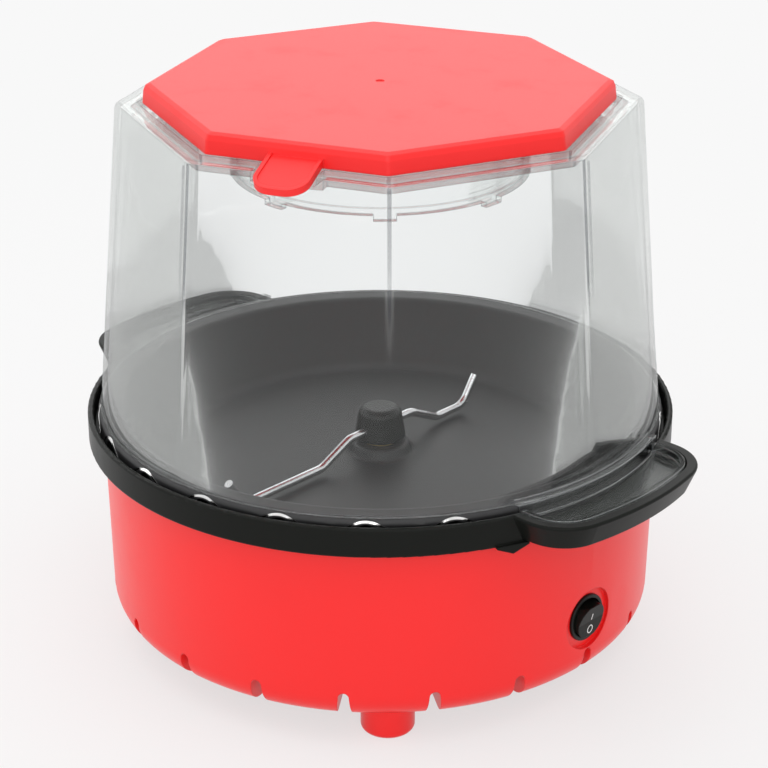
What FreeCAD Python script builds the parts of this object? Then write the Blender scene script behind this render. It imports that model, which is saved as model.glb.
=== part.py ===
import FreeCAD, Part
import math
import os

from FreeCAD import Vector

# Popcorn maker: a stirred hot pan in a drum base, under a clear lift-off cover with a lid.
# Millimetres, +Z up, origin on the table under the centre of the base.
# Azimuth is counted from the front (-Y) towards the right (+X). The handles lie along X.

# Base drum
FOOT_HEIGHT = 14.0
FOOT_DIAMETER = 24.0
FOOT_EDGE_RADIUS = 2.5
FOOT_INSET = 19.8
FOOT_COUNT = 4
FOOT_FIRST_AZIMUTH = 45.0
BASE_RADIUS = 126.3
BASE_DRAFT = 1.7
BASE_HEIGHT = 87.5
BASE_EDGE_RADIUS = 11.5
BASE_WALL = 2.6
BASE_LIP = 1.8
NOTCH_COUNT = 20
NOTCH_TOP_WIDTH = 4.8
NOTCH_FOOT_WIDTH = 7.2
NOTCH_HEIGHT = 14.0
NOTCH_RIB = 2.0
NOTCH_RIB_LENGTH = 22.0
FLOOR_SLOT_COUNT = 12
FLOOR_SLOT_WIDTH = 4.0
FLOOR_SLOT_LENGTH = 26.0
FLOOR_SLOT_START = 34.0
TOWER_RADIUS = 6.5
TOWER_CAP = 4.0
RING_BOSS_RADIUS = 4.5
RING_BOSS_HEIGHT = 20.0
RING_BOSS_COUNT = 4

# Handle ring
RING_OVERHANG = 7.0
RING_WALL = 2.8
RING_HEIGHT = 13.4
RING_SKIRT = 2.9
RING_FLOOR = 3.0
RING_RIB = 2.4
RING_FIT = 0.4
RING_EDGE_RADIUS = 1.0
HANDLE_REACH = 23.4
HANDLE_HALF_WIDTH = 52.1
HANDLE_CORNER_RADIUS = 24.0
HANDLE_RIM = 5.2
HANDLE_DRAFT = 4.6
HANDLE_LIFT = 2.0
HANDLE_UNDER_WALL = 2.4
GUSSET_DROP = 3.2
GUSSET_WIDTH = 15.0

# Heating pan
GUTTER_GAP = 2.2
PAN_SHEET = 1.8
PAN_SKIRT_HEIGHT = 9.3
PAN_RIM_RADIUS = 2.6
PAN_LIP_WIDTH = 9.0
PAN_DEPTH = 29.0
PAN_WALL_RUN = 21.4
PAN_CORNER_RADIUS = 12.0
PAN_LIP_RADIUS = 4.0
PAN_BOSS_RADIUS = 13.0
PAN_BOSS_HEIGHT = 5.0
PAN_BOSS_ROUND = 2.4
PAN_CLEARANCE = 1.4
SCALLOP_RADIUS = 6.0
SCALLOP_RISE = 7.2
SCALLOP_PITCH = 16.25
SCALLOPS_PER_SIDE = 8

# Clear cover
COVER_OVERHANG = 1.4
COVER_WALL = 2.2
COVER_HEIGHT = 140.9
COVER_TAPER = 11.9
COVER_CORNER_RADIUS = 4.0
COVER_EDGE_RADIUS = 2.4
LEDGE_WIDTH = 9.5
WELL_DEPTH = 4.1
NECK_RADIUS = 66.0
NECK_DROP = 24.4
NECK_BEAD_HEIGHT = 3.4
NECK_BEAD_DEPTH = 0.8
NECK_TAB_WIDTH = 10.0
NECK_TAB_DROP = 2.5
RIM_NOTCH_WIDTH = 27.0
TRAY_GAP = 0.8
TRAY_LIFT = 2.8
TRAY_RISE = 0.3
APRON_GAP = 0.6

# Lid
LID_GAP = 3.6
LID_SINK = 0.6
LID_HEIGHT = 8.9
LID_WALL = 2.4
LID_DRAFT = 0.6
LID_EDGE_RADIUS = 3.0
LID_CORNER_RADIUS = 3.0
LID_SEAT_OFFSET = 10.0
LID_PLUG_DROP = 4.5
LID_PLUG_GAP = 0.8
LID_DIMPLE_RADIUS = 2.0
LID_DIMPLE_DEPTH = 0.5
TAB_AZIMUTH = 22.5
TAB_WIDTH = 24.0
TAB_OVERHANG = 10.0
TAB_THICKNESS = 3.2
TAB_SLOPE = 17.0
TAB_CORNER_RADIUS = 9.0
TAB_BORDER = 1.8
TAB_RECESS = 0.7
TAB_CLEARANCE = 0.5

# Stirrer and its drive
SHAFT_RADIUS = 3.0
SHAFT_CLEARANCE = 0.05
SHAFT_FLAT = 0.8
SHAFT_SOCKET = 12.0
SHAFT_RISE = 12.0
BUSH_RADIUS = 5.5
BUSH_FLANGE_RADIUS = 8.0
BUSH_FLANGE = 1.6
BUSH_TAIL = 6.0
PART_FIT = 0.02
CLIP_RADIUS = 5.5
CLIP_THICKNESS = 0.8
CLIP_GROOVE = 0.5
RUN_GAP = 0.4
HUB_RADIUS = 12.0
HUB_HEIGHT = 15.0
HUB_CAP_ROUND = 4.0
HUB_FOOT_ROUND = 1.0
HUB_FIT = 0.12
ROD_RADIUS = 2.0
ROD_FLOOR_GAP = 1.5
ROD_SEAT = 6.0
ROD_WALL_GAP = 9.0
ROD_TIP_RISE = 13.0
ROD_TIP_RUN = 9.0
ROD_SHORT_REACH = 58.0
ROD_BEND_RADIUS = 9.0
MOTOR_RADIUS = 25.0
MOTOR_HEIGHT = 22.0
MOTOR_FLOOR_GAP = 4.0
MOTOR_BOSS_RADIUS = 7.0
MOTOR_BOSS_HEIGHT = 4.0
MOTOR_EAR_REACH = 34.0
MOTOR_EAR_WIDTH = 10.0
MOTOR_EAR = 1.6
MOTOR_SCREW_SPAN = 30.0
MOTOR_PLUG_WIDTH = 14.0
MOTOR_PLUG_REACH = 6.0
SHIELD_RADIUS = 64.0
SHIELD_SHEET = 1.0
SHIELD_RIM = 6.0
SHIELD_BEND_RADIUS = 2.5
SHIELD_HOLE_GAP = 1.0
STANDOFF_RADIUS = 4.0
STANDOFF_LENGTH = 25.0
STANDOFF_OFFSET = 50.0
STANDOFF_COUNT = 3
STANDOFF_FIRST_AZIMUTH = 60.0

# Heater and heat control
ELEMENT_MARGIN = 4.75
ELEMENT_TUBE_RADIUS = 3.25
ELEMENT_GAP_ANGLE = 54.0
ELEMENT_BEND_RADIUS = 8.0
ELEMENT_TAIL = 12.0
CONTACT_GAP = 0.05
CLAMP_SHEET = 1.0
CLAMP_WIDTH = 10.0
CLAMP_EAR = 6.0
CLAMP_AZIMUTHS = (0.0, 90.0, 270.0)
BRACKET_SHEET = 1.5
BRACKET_WIDTH = 14.0
BRACKET_DROP = 20.0
BRACKET_TOP_LENGTH = 10.0
BRACKET_BEND_RADIUS = 2.5
THERMOSTAT_RADIUS = 8.0
THERMOSTAT_HEIGHT = 6.0
THERMOSTAT_CAP_RADIUS = 6.0
THERMOSTAT_CAP_HEIGHT = 5.0
THERMOSTAT_AZIMUTH = 112.0
CONTROL_OFFSET = 48.0
FUSE_RADIUS = 2.5
FUSE_LENGTH = 18.0
FUSE_PIN = 6.0
FUSE_AZIMUTH = 245.0
FUSE_CLIP_WIDTH = 8.0
BLADE_WIDTH = 6.3
BLADE_THICKNESS = 0.8
BLADE_LENGTH = 8.0

# Screws
SCREW_RADIUS = 2.0
SCREW_HEAD_RADIUS = 3.6
SCREW_HEAD_HEIGHT = 2.6
SCREW_SHANK = 12.0
SCREW_HOLE_GAP = 0.25

# Switch, on the right under the handle
SWITCH_HEIGHT = 43.0
SWITCH_RECESS_RADIUS = 14.6
SWITCH_RECESS_DEPTH = 1.6
SWITCH_BEZEL_RADIUS = 11.0
SWITCH_BEZEL = 1.4
SWITCH_BODY_RADIUS = 9.9
SWITCH_BODY_DEPTH = 15.0
SWITCH_HOLE_FIT = 0.1
SWITCH_FLOOR_GAP = 2.1
ROCKER_RADIUS = 8.6
ROCKER_GAP = 0.7
ROCKER_THROW = 20.0
ROCKER_DISH_ANGLE = 4.0
ROCKER_PROUD = 3.4
ROCKER_PIVOT_DEPTH = 1.2
ROCKER_BACK = 4.5
ROCKER_BACK_HALF = 4.6
ROCKER_POCKET_DEPTH = 9.0
TRUNNION_RADIUS = 1.2
TRUNNION_CLEARANCE = 0.05
TRUNNION_LENGTH = 0.45

# Wiring and cord inlet
BLOCK_LENGTH = 30.0
BLOCK_WIDTH = 16.0
BLOCK_HEIGHT = 14.0
BLOCK_PAD_HEIGHT = 3.4
BLOCK_DISTANCE = 76.0
BLOCK_PITCH = 7.0
BLOCK_PORTS = 4
BLOCK_PORT_RADIUS = 2.2
BLOCK_PORT_DEPTH = 4.0
LEAD_RADIUS = 1.3
LEAD_BEND_RADIUS = 9.0
GLAND_HEIGHT = 46.0
GLAND_BORE_RADIUS = 3.7
GLAND_RADIUS = 6.5
GLAND_FLANGE_RADIUS = 9.0
GLAND_FLANGE = 3.0
GLAND_TAIL = 9.0
GLAND_COLLAR = 1.0
GLAND_PAD_RADIUS = 12.0

# Heights worked out from the sizes above
base_floor_z = FOOT_HEIGHT
base_top_z = base_floor_z + BASE_HEIGHT
ring_bottom_z = base_top_z - RING_SKIRT
ring_top_z = ring_bottom_z + RING_HEIGHT
ring_floor_z = base_top_z + RING_FLOOR
pan_rim_z = ring_floor_z + PAN_SKIRT_HEIGHT
pan_floor_z = pan_rim_z - PAN_DEPTH
pan_under_z = pan_floor_z - PAN_SHEET
cover_top_z = pan_rim_z + COVER_HEIGHT
well_floor_z = cover_top_z - WELL_DEPTH
well_under_z = well_floor_z - COVER_WALL
neck_bottom_z = well_under_z - NECK_DROP
lid_bottom_z = cover_top_z - LID_SINK
lid_top_z = lid_bottom_z + LID_HEIGHT
lid_under_z = lid_top_z - LID_WALL
tray_bottom_z = ring_floor_z + TRAY_LIFT
tray_floor_z = tray_bottom_z + COVER_WALL
tray_top_z = ring_top_z + TRAY_RISE
shield_top_z = pan_under_z - STANDOFF_LENGTH
motor_top_z = shield_top_z - SHIELD_SHEET
room_under_motor_z = motor_top_z - MOTOR_HEIGHT - MOTOR_FLOOR_GAP
room_under_switch_z = SWITCH_HEIGHT - SWITCH_BODY_RADIUS - SWITCH_FLOOR_GAP
plate_top_z = min(room_under_motor_z, room_under_switch_z)
plate_z = plate_top_z - BASE_WALL
bush_top_z = pan_floor_z + PAN_BOSS_HEIGHT + BUSH_FLANGE
hub_bottom_z = bush_top_z + RUN_GAP
tower_top_z = pan_under_z - BRACKET_DROP
element_z = pan_under_z - ELEMENT_TUBE_RADIUS - CONTACT_GAP

# Radii worked out from the sizes above
base_top_radius = BASE_RADIUS + BASE_DRAFT
base_inner_radius = base_top_radius - BASE_WALL
lip_radius = BASE_RADIUS - BASE_EDGE_RADIUS - BASE_LIP
rib_end_radius = BASE_RADIUS - NOTCH_RIB_LENGTH
ring_radius = base_top_radius + RING_OVERHANG
ring_inner_radius = ring_radius - RING_WALL
rib_outer_radius = base_inner_radius - RING_FIT
pan_skirt_radius = ring_inner_radius - GUTTER_GAP
pan_mouth_radius = pan_skirt_radius - PAN_RIM_RADIUS - PAN_LIP_WIDTH
pan_floor_radius = pan_mouth_radius - PAN_WALL_RUN
foot_circle_radius = BASE_RADIUS - FOOT_INSET
bracket_leg_radius = foot_circle_radius - TOWER_RADIUS - BRACKET_BEND_RADIUS - BRACKET_SHEET
bracket_inner_radius = bracket_leg_radius - BRACKET_TOP_LENGTH
element_radius = bracket_inner_radius - ELEMENT_MARGIN - ELEMENT_TUBE_RADIUS
cover_radius = pan_skirt_radius - PAN_RIM_RADIUS + COVER_OVERHANG
cover_octagon_radius = cover_radius - COVER_TAPER
well_octagon_radius = cover_octagon_radius - LEDGE_WIDTH
lid_octagon_radius = well_octagon_radius - LID_GAP
apron_inner_radius = pan_skirt_radius + APRON_GAP
apron_outer_radius = apron_inner_radius + COVER_WALL
handle_radius = ring_radius + HANDLE_REACH
ring_boss_circle = base_inner_radius - RING_BOSS_RADIUS + PART_FIT

ORIGIN = Vector(0, 0, 0)
UP = Vector(0, 0, 1)
SIDES = 8
VERTEX_PITCH = 360.0 / SIDES
FACE_COSINE = math.cos(math.radians(VERTEX_PITCH / 2))


def polar(radius, azimuth, z):
    angle = math.radians(azimuth)
    return Vector(radius * math.sin(angle), -radius * math.cos(angle), z)


def turned(shape, azimuth):
    """The shape, built at the front, turned to an azimuth."""
    copy = shape.copy()
    copy.rotate(ORIGIN, UP, azimuth)
    return copy


def repeated(shape, azimuths):
    return Part.makeCompound([turned(shape, azimuth) for azimuth in azimuths])


def evenly(count, first=0.0):
    return [first + 360.0 / count * i for i in range(count)]


def column(radius, low, high, centre=ORIGIN):
    return Part.makeCylinder(radius, high - low, Vector(centre.x, centre.y, low))


def rod_between(radius, start, end):
    return Part.makeCylinder(radius, (end - start).Length, start, end - start)


def rounded_edges(points, radii):
    """Lines through the points, with a tangent arc of the given radius at each inner point."""
    edges = []
    start = points[0]
    for before, corner, after, radius in zip(points, points[1:], points[2:], radii):
        if radius == 0:
            edges.append(Part.makeLine(start, corner))
            start = corner
            continue
        back = (before - corner).normalize()
        ahead = (after - corner).normalize()
        half = back.getAngle(ahead) / 2
        middle = (back + ahead).normalize()
        centre = corner + middle * (radius / math.sin(half))
        first = corner + back * (radius / math.tan(half))
        last = corner + ahead * (radius / math.tan(half))
        edges.append(Part.makeLine(start, first))
        edges.append(Part.Arc(first, centre - middle * radius, last).toShape())
        start = last
    edges.append(Part.makeLine(start, points[-1]))
    return edges


def section(pairs):
    """Points of a section drawn in radius and height."""
    return [Vector(radius, 0, z) for radius, z in pairs]


def offset_path(points, distance):
    """The path moved sideways, to the left of its direction in the XZ plane."""
    normals = []
    for start, end in zip(points, points[1:]):
        along = (end - start).normalize()
        normals.append(Vector(-along.z, 0, along.x))
    moved = [points[0] + normals[0] * distance]
    for point, first, second in zip(points[1:], normals, normals[1:]):
        moved.append(point + (first + second) * (distance / (1 + first.dot(second))))
    moved.append(points[-1] + normals[-1] * distance)
    return moved


def sheet_face(points, radii, thickness):
    """A strip of even thickness along a rounded path; a positive thickness lies to its left."""
    far_radii = []
    for before, corner, after, radius in zip(points, points[1:], points[2:], radii):
        first = corner - before
        second = after - corner
        left_turn = first.x * second.z - first.z * second.x > 0
        far_radii.append(radius - thickness if left_turn else radius + thickness)
    far_points = offset_path(points, thickness)
    far_edges = rounded_edges(far_points, far_radii)
    edges = rounded_edges(points, radii)
    edges.append(Part.makeLine(points[-1], far_points[-1]))
    edges.extend(far_edges)
    edges.append(Part.makeLine(far_points[0], points[0]))
    return Part.Face(Part.Wire(Part.__sortEdges__(edges)))


def closed_face(points, radii):
    """A polygon with each corner rounded by its own radius; the first corner stays sharp."""
    loop = points + [points[0]]
    return Part.Face(Part.Wire(rounded_edges(loop, radii[1:])))


def spun(face):
    return face.revolve(ORIGIN, UP, 360)


def spun_sheet(pairs, radii, thickness):
    return spun(sheet_face(section(pairs), radii, thickness))


def spun_polygon(pairs, radii=None):
    points = section(pairs)
    return spun(closed_face(points, radii or [0] * len(points)))


def swept_tube(edges, radius):
    path = Part.Wire(edges)
    start = edges[0].valueAt(edges[0].FirstParameter)
    along = edges[0].tangentAt(edges[0].FirstParameter)
    circle = Part.Wire(Part.makeCircle(radius, start, along))
    return path.makePipeShell([circle], True, False)


def octagon(radius, corner_radius, z, inset=0.0):
    """Eight-sided outline with rounded corners; radius reaches the sharp corner."""
    sharp = radius - inset / FACE_COSINE
    tangent = corner_radius * math.tan(math.radians(VERTEX_PITCH / 2))
    edges = []
    for i in range(SIDES):
        corner = polar(sharp, VERTEX_PITCH * i, z)
        before = polar(sharp, VERTEX_PITCH * (i - 1), z)
        after = polar(sharp, VERTEX_PITCH * (i + 1), z)
        first = corner + (before - corner).normalize() * tangent
        last = corner + (after - corner).normalize() * tangent
        outward = corner - Vector(0, 0, z)
        depth = corner_radius / FACE_COSINE - corner_radius
        crest = corner - outward.normalize() * depth
        edges.append(Part.Arc(first, crest, last).toShape())
        leave = after + (corner - after).normalize() * tangent
        edges.append(Part.makeLine(last, leave))
    return Part.Wire(edges)


def eight_arc_circle(radius, corner_radius, z):
    """A circle split as the octagon is, so that each flat of the octagon runs down into an arc."""
    half_corner = math.degrees(corner_radius * math.sin(math.radians(VERTEX_PITCH / 2)) / radius)
    edges = []
    for i in range(SIDES):
        middle = VERTEX_PITCH * i
        stops = [middle - half_corner, middle, middle + half_corner]
        stops += [middle + VERTEX_PITCH / 2, middle + VERTEX_PITCH - half_corner]
        a, b, c, d, e = [polar(radius, stop, z) for stop in stops]
        edges.append(Part.Arc(a, b, c).toShape())
        edges.append(Part.Arc(c, d, e).toShape())
    return Part.Wire(edges)


def prism(wire, height):
    return Part.Face(wire).extrude(Vector(0, 0, height))


def handle_wire(inset, z):
    """The D-shaped handle's outline on the right, moved inwards by an inset."""
    outer = handle_radius - inset
    half = HANDLE_HALF_WIDTH - inset
    corner = HANDLE_CORNER_RADIUS - inset
    # The corner's centre is one corner radius from the straight side and from the outer arc.
    hub = Vector(math.sqrt((outer - corner) ** 2 - (half - corner) ** 2), half - corner, z)
    out = Vector(hub.x, hub.y, 0).normalize()
    side = Vector(0, 1, 0)
    root = Vector(ring_radius - 2 * HANDLE_REACH, half, z)
    on_side = hub + side * corner
    crest = hub + (side + out).normalize() * corner
    on_arc = hub + out * corner
    tip = Vector(outer, 0, z)

    def mirrored(point):
        return Vector(point.x, -point.y, point.z)

    edges = [Part.makeLine(root, on_side)]
    edges.append(Part.Arc(on_side, crest, on_arc).toShape())
    edges.append(Part.Arc(on_arc, tip, mirrored(on_arc)).toShape())
    edges.append(Part.Arc(mirrored(on_arc), mirrored(crest), mirrored(on_side)).toShape())
    edges.append(Part.makeLine(mirrored(on_side), mirrored(root)))
    edges.append(Part.makeLine(mirrored(root), root))
    return Part.Wire(edges)


def both_sides(shape):
    return [shape, turned(shape, 180)]


def base_outer_at(z):
    """Outer radius of the drafted drum wall at a height."""
    return BASE_RADIUS + BASE_DRAFT * (z - base_floor_z) / BASE_HEIGHT


def pan_under_radius(z):
    """Outer radius of the pan's sloping wall, on its underside, at a height."""
    run = pan_mouth_radius - pan_floor_radius
    length = math.hypot(run, PAN_DEPTH)
    return pan_floor_radius + run * (z - pan_floor_z) / PAN_DEPTH + PAN_SHEET * length / PAN_DEPTH


ring_bore_radius = pan_under_radius(ring_floor_z) + PAN_CLEARANCE
foot_azimuths = evenly(FOOT_COUNT, FOOT_FIRST_AZIMUTH)
boss_azimuths = evenly(RING_BOSS_COUNT)
switch_wall = base_outer_at(SWITCH_HEIGHT)
switch_face_x = math.sqrt(switch_wall ** 2 - SWITCH_RECESS_RADIUS ** 2) - SWITCH_RECESS_DEPTH
switch_axis = Vector(switch_face_x, 0, SWITCH_HEIGHT)
gland_face_y = math.sqrt(base_outer_at(GLAND_HEIGHT) ** 2 - GLAND_PAD_RADIUS ** 2)


def along_x(radius, low, high, z):
    return Part.makeCylinder(radius, high - low, Vector(low, 0, z), Vector(1, 0, 0))


def along_y(radius, low, high, z):
    return Part.makeCylinder(radius, high - low, Vector(0, low, z), Vector(0, 1, 0))


def vent_notch():
    """Cutter of one air notch at the front, wider at its foot and round at the top."""
    half = NOTCH_TOP_WIDTH / 2
    foot_half = NOTCH_FOOT_WIDTH / 2
    foot = base_floor_z - BASE_LIP
    shoulder = base_floor_z + NOTCH_HEIGHT - half
    corners = [(-foot_half, foot), (-half, shoulder), (half, shoulder), (foot_half, foot)]
    a, b, c, d = [Vector(x, -base_top_radius, z) for x, z in corners]
    crown = Vector(0, -base_top_radius, shoulder + half)
    arc = Part.Arc(b, crown, c).toShape()
    outline = [Part.makeLine(a, b), arc, Part.makeLine(c, d), Part.makeLine(d, a)]
    return Part.Face(Part.Wire(outline)).extrude(Vector(0, base_top_radius - rib_end_radius + BASE_LIP, 0))


def notch_ribs():
    """Block at the front that leaves a rib on each side of an air notch, from the skirt to the plate."""
    half = NOTCH_FOOT_WIDTH / 2 + NOTCH_RIB
    corner = Vector(-half, -base_top_radius, base_floor_z)
    return Part.makeBox(2 * half, base_top_radius - rib_end_radius, plate_z - base_floor_z, corner)


def floor_slot():
    start = FLOOR_SLOT_START
    end = start + FLOOR_SLOT_LENGTH
    half = FLOOR_SLOT_WIDTH / 2
    low = plate_z - BASE_WALL
    bar = Part.makeBox(FLOOR_SLOT_WIDTH, FLOOR_SLOT_LENGTH, 3 * BASE_WALL, Vector(-half, -end, low))
    ends = [column(half, low, low + 3 * BASE_WALL, Vector(0, -y, 0)) for y in (start, end)]
    return bar.multiFuse(ends)


def make_base_housing():
    wall = [(BASE_RADIUS, base_floor_z), (base_top_radius, base_top_z)]
    filled = spun_polygon([(0, base_floor_z)] + wall + [(0, base_top_z)], [0, BASE_EDGE_RADIUS, 0, 0])
    drum = spun_sheet([(lip_radius, base_floor_z)] + wall, [BASE_EDGE_RADIUS], BASE_WALL).common(filled)
    plate = column(BASE_RADIUS - BASE_WALL / 2, plate_z, plate_top_z)
    foot_half = FOOT_DIAMETER / 2
    foot = spun_polygon(
        [(0, 0), (foot_half, 0), (foot_half, plate_z), (0, plate_z)], [0, FOOT_EDGE_RADIUS, 0, 0])
    foot_centre = polar(foot_circle_radius, 0, 0)
    foot.translate(foot_centre)
    tower = column(TOWER_RADIUS, plate_z, tower_top_z, foot_centre)
    boss_centre = polar(ring_boss_circle, 0, 0)
    boss = column(RING_BOSS_RADIUS, base_top_z - RING_BOSS_HEIGHT, base_top_z, boss_centre)
    pad_low = switch_face_x - BASE_WALL
    switch_pad = along_x(SWITCH_RECESS_RADIUS + BASE_WALL, pad_low, base_top_radius, SWITCH_HEIGHT)
    gland_pad = along_y(GLAND_PAD_RADIUS, gland_face_y - 2 * BASE_WALL, gland_face_y, GLAND_HEIGHT)
    pad_half = BLOCK_LENGTH / 2
    block_pad = Part.makeBox(
        BLOCK_LENGTH, BLOCK_WIDTH, BLOCK_PAD_HEIGHT + BASE_WALL,
        Vector(-pad_half, BLOCK_DISTANCE - BLOCK_WIDTH / 2, plate_z),
    )
    added = [plate] + [turned(foot, az) for az in foot_azimuths]
    added += [turned(tower, az) for az in foot_azimuths]
    added += [turned(boss, az).common(filled) for az in boss_azimuths]
    added += [turned(notch_ribs().common(filled), az) for az in evenly(NOTCH_COUNT)]
    added += [switch_pad.common(filled), gland_pad.common(filled), block_pad]
    body = drum.multiFuse(added)

    cuts = [turned(vent_notch(), az) for az in evenly(NOTCH_COUNT)]
    cuts += [turned(floor_slot(), az) for az in evenly(FLOOR_SLOT_COUNT, VERTEX_PITCH / 3)]
    hole_radius = SCREW_RADIUS + SCREW_HOLE_GAP
    well = column(SCREW_HEAD_RADIUS + SCREW_HOLE_GAP, 0, tower_top_z - TOWER_CAP, foot_centre)
    well = well.fuse(column(hole_radius, 0, tower_top_z, foot_centre))
    cuts += [turned(well, az) for az in foot_azimuths]
    pilot = column(SCREW_RADIUS, base_top_z - SCREW_SHANK, base_top_z, boss_centre)
    cuts += [turned(pilot, az) for az in boss_azimuths]
    recess = along_x(SWITCH_RECESS_RADIUS, switch_face_x, ring_radius, SWITCH_HEIGHT)
    switch_hole = SWITCH_BODY_RADIUS + SWITCH_HOLE_FIT
    cuts += [recess, along_x(switch_hole, pad_low - BASE_WALL, ring_radius, SWITCH_HEIGHT)]
    cuts.append(along_y(GLAND_RADIUS + PART_FIT, gland_face_y - GLAND_PAD_RADIUS, ring_radius, GLAND_HEIGHT))
    cuts.append(along_y(GLAND_PAD_RADIUS, gland_face_y, ring_radius, GLAND_HEIGHT))
    screw_top = plate_top_z + BLOCK_PAD_HEIGHT
    cuts.append(column(SCREW_RADIUS, plate_top_z, screw_top, Vector(0, BLOCK_DISTANCE, 0)))
    return body.cut(cuts).removeSplitter()


def root_gusset():
    """Small V rib under the ring where a handle's side runs into it, at the front."""
    low = ring_bottom_z - GUSSET_DROP
    corners = [(-GUSSET_WIDTH / 2, ring_bottom_z), (0, low), (GUSSET_WIDTH / 2, ring_bottom_z)]
    corners.append((GUSSET_WIDTH / 2, ring_bottom_z + RING_EDGE_RADIUS))
    corners.append((-GUSSET_WIDTH / 2, ring_bottom_z + RING_EDGE_RADIUS))
    points = [Vector(x, -ring_inner_radius - RING_WALL / 2, z) for x, z in corners]
    wedge = Part.Face(Part.makePolygon(points + [points[0]]))
    return wedge.extrude(Vector(0, -RING_WALL, 0))


def make_handle_ring():
    soft = RING_EDGE_RADIUS
    ring = spun_polygon(
        [(ring_bore_radius, ring_floor_z), (ring_inner_radius, ring_floor_z),
         (ring_inner_radius, ring_top_z), (ring_radius, ring_top_z), (ring_radius, ring_bottom_z),
         (ring_inner_radius, ring_bottom_z), (ring_inner_radius, base_top_z),
         (rib_outer_radius, base_top_z), (rib_outer_radius, ring_bottom_z),
         (rib_outer_radius - RING_RIB, ring_bottom_z), (rib_outer_radius - RING_RIB, base_top_z),
         (ring_bore_radius, base_top_z)],
        [0, soft, soft, soft, soft, 0, 0, 0, 0, 0, 0, 0],
    )
    handle_low = ring_bottom_z + HANDLE_LIFT
    shelf_under_z = ring_floor_z - RING_FLOOR
    outside = Part.makeLoft([handle_wire(HANDLE_DRAFT, handle_low), handle_wire(0, ring_top_z)], True, True)
    core = column(ring_radius - RING_EDGE_RADIUS, ring_bottom_z, ring_top_z + RING_HEIGHT)
    handle = outside.cut(core)
    handle = handle.makeFillet(soft, [e for e in handle.Edges if is_rim_edge(e)])
    pocket = prism(handle_wire(HANDLE_RIM, ring_floor_z), RING_HEIGHT)
    pocket = pocket.cut(column(ring_inner_radius - RING_EDGE_RADIUS, 0, 2 * ring_top_z))
    hollow_wire = handle_wire(HANDLE_DRAFT + HANDLE_UNDER_WALL, ring_bottom_z)
    hollow = prism(hollow_wire, shelf_under_z - ring_bottom_z)
    hollow = hollow.cut(column(ring_radius, 0, 2 * ring_top_z))
    root_angle = math.degrees(math.asin(HANDLE_HALF_WIDTH / ring_radius))
    gusset_azimuths = [90 + root_angle, 90 - root_angle, 270 + root_angle, 270 - root_angle]
    ring = ring.multiFuse(both_sides(handle) + [turned(root_gusset(), az) for az in gusset_azimuths])
    boss_centre = polar(ring_boss_circle, 0, 0)
    boss_room = column(RING_BOSS_RADIUS + RING_FIT, ring_bottom_z, base_top_z, boss_centre)
    hole = column(SCREW_RADIUS + SCREW_HOLE_GAP, ring_bottom_z, ring_floor_z, boss_centre)
    cuts = both_sides(pocket) + both_sides(hollow)
    cuts += [turned(boss_room, az) for az in boss_azimuths]
    cuts += [turned(hole, az) for az in boss_azimuths]
    return ring.cut(cuts).removeSplitter()


def is_rim_edge(edge):
    """Edges of a handle's outer top rim, clear of its root."""
    box = edge.BoundBox
    on_top = abs(box.ZMin - ring_top_z) < PART_FIT and abs(box.ZMax - ring_top_z) < PART_FIT
    middle = edge.valueAt((edge.FirstParameter + edge.LastParameter) / 2)
    return on_top and math.hypot(middle.x, middle.y) > ring_radius


def make_heating_pan():
    boss_foot = PAN_BOSS_RADIUS + PAN_BOSS_HEIGHT / 2
    pan = spun_sheet(
        [(BUSH_RADIUS + PART_FIT, pan_floor_z + PAN_BOSS_HEIGHT),
         (PAN_BOSS_RADIUS, pan_floor_z + PAN_BOSS_HEIGHT), (boss_foot, pan_floor_z),
         (pan_floor_radius, pan_floor_z), (pan_mouth_radius, pan_rim_z),
         (pan_skirt_radius, pan_rim_z), (pan_skirt_radius, ring_floor_z)],
        [PAN_BOSS_ROUND, PAN_BOSS_ROUND, PAN_CORNER_RADIUS, PAN_LIP_RADIUS, PAN_RIM_RADIUS],
        -PAN_SHEET,
    )
    scallop_z = ring_floor_z + SCALLOP_RISE - SCALLOP_RADIUS
    scallop = rod_between(
        SCALLOP_RADIUS, polar(pan_skirt_radius + GUTTER_GAP, 0, scallop_z),
        polar(pan_skirt_radius - PAN_RIM_RADIUS - PAN_SHEET, 0, scallop_z),
    )
    first = -SCALLOP_PITCH * (SCALLOPS_PER_SIDE - 1) / 2
    front = [first + SCALLOP_PITCH * i for i in range(SCALLOPS_PER_SIDE)]
    return pan.cut([turned(scallop, az + side) for az in front for side in (0, 180)])


def octagon_block(radius, corner_radius, stations):
    """Ruled block through eight-sided outlines, each given by its height and inset."""
    wires = [octagon(radius, corner_radius, z, inset) for z, inset in stations]
    return Part.makeLoft(wires, True, True)


def annulus(inner, outer, low, high):
    return column(outer, low, high).cut(column(inner, low, high))


def cover_tray():
    """One clear handle tray on the right, with the apron that joins it to the cover."""
    inset = HANDLE_RIM + TRAY_GAP
    flange_top = pan_rim_z + COVER_WALL
    tray = prism(handle_wire(inset, tray_bottom_z), tray_top_z - tray_bottom_z)
    tray = tray.cut(column(apron_inner_radius, 0, cover_top_z))
    pocket = prism(handle_wire(inset + COVER_WALL, tray_floor_z), RING_HEIGHT)
    tray = tray.cut(pocket.cut(column(apron_outer_radius, 0, cover_top_z)))
    reach = prism(handle_wire(inset, tray_bottom_z), flange_top - tray_bottom_z)
    apron = reach.common(annulus(apron_inner_radius, apron_outer_radius, tray_bottom_z, flange_top))
    flange = reach.common(annulus(cover_radius - COVER_WALL, apron_outer_radius, pan_rim_z, flange_top))
    return tray.multiFuse([apron, flange])


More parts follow.
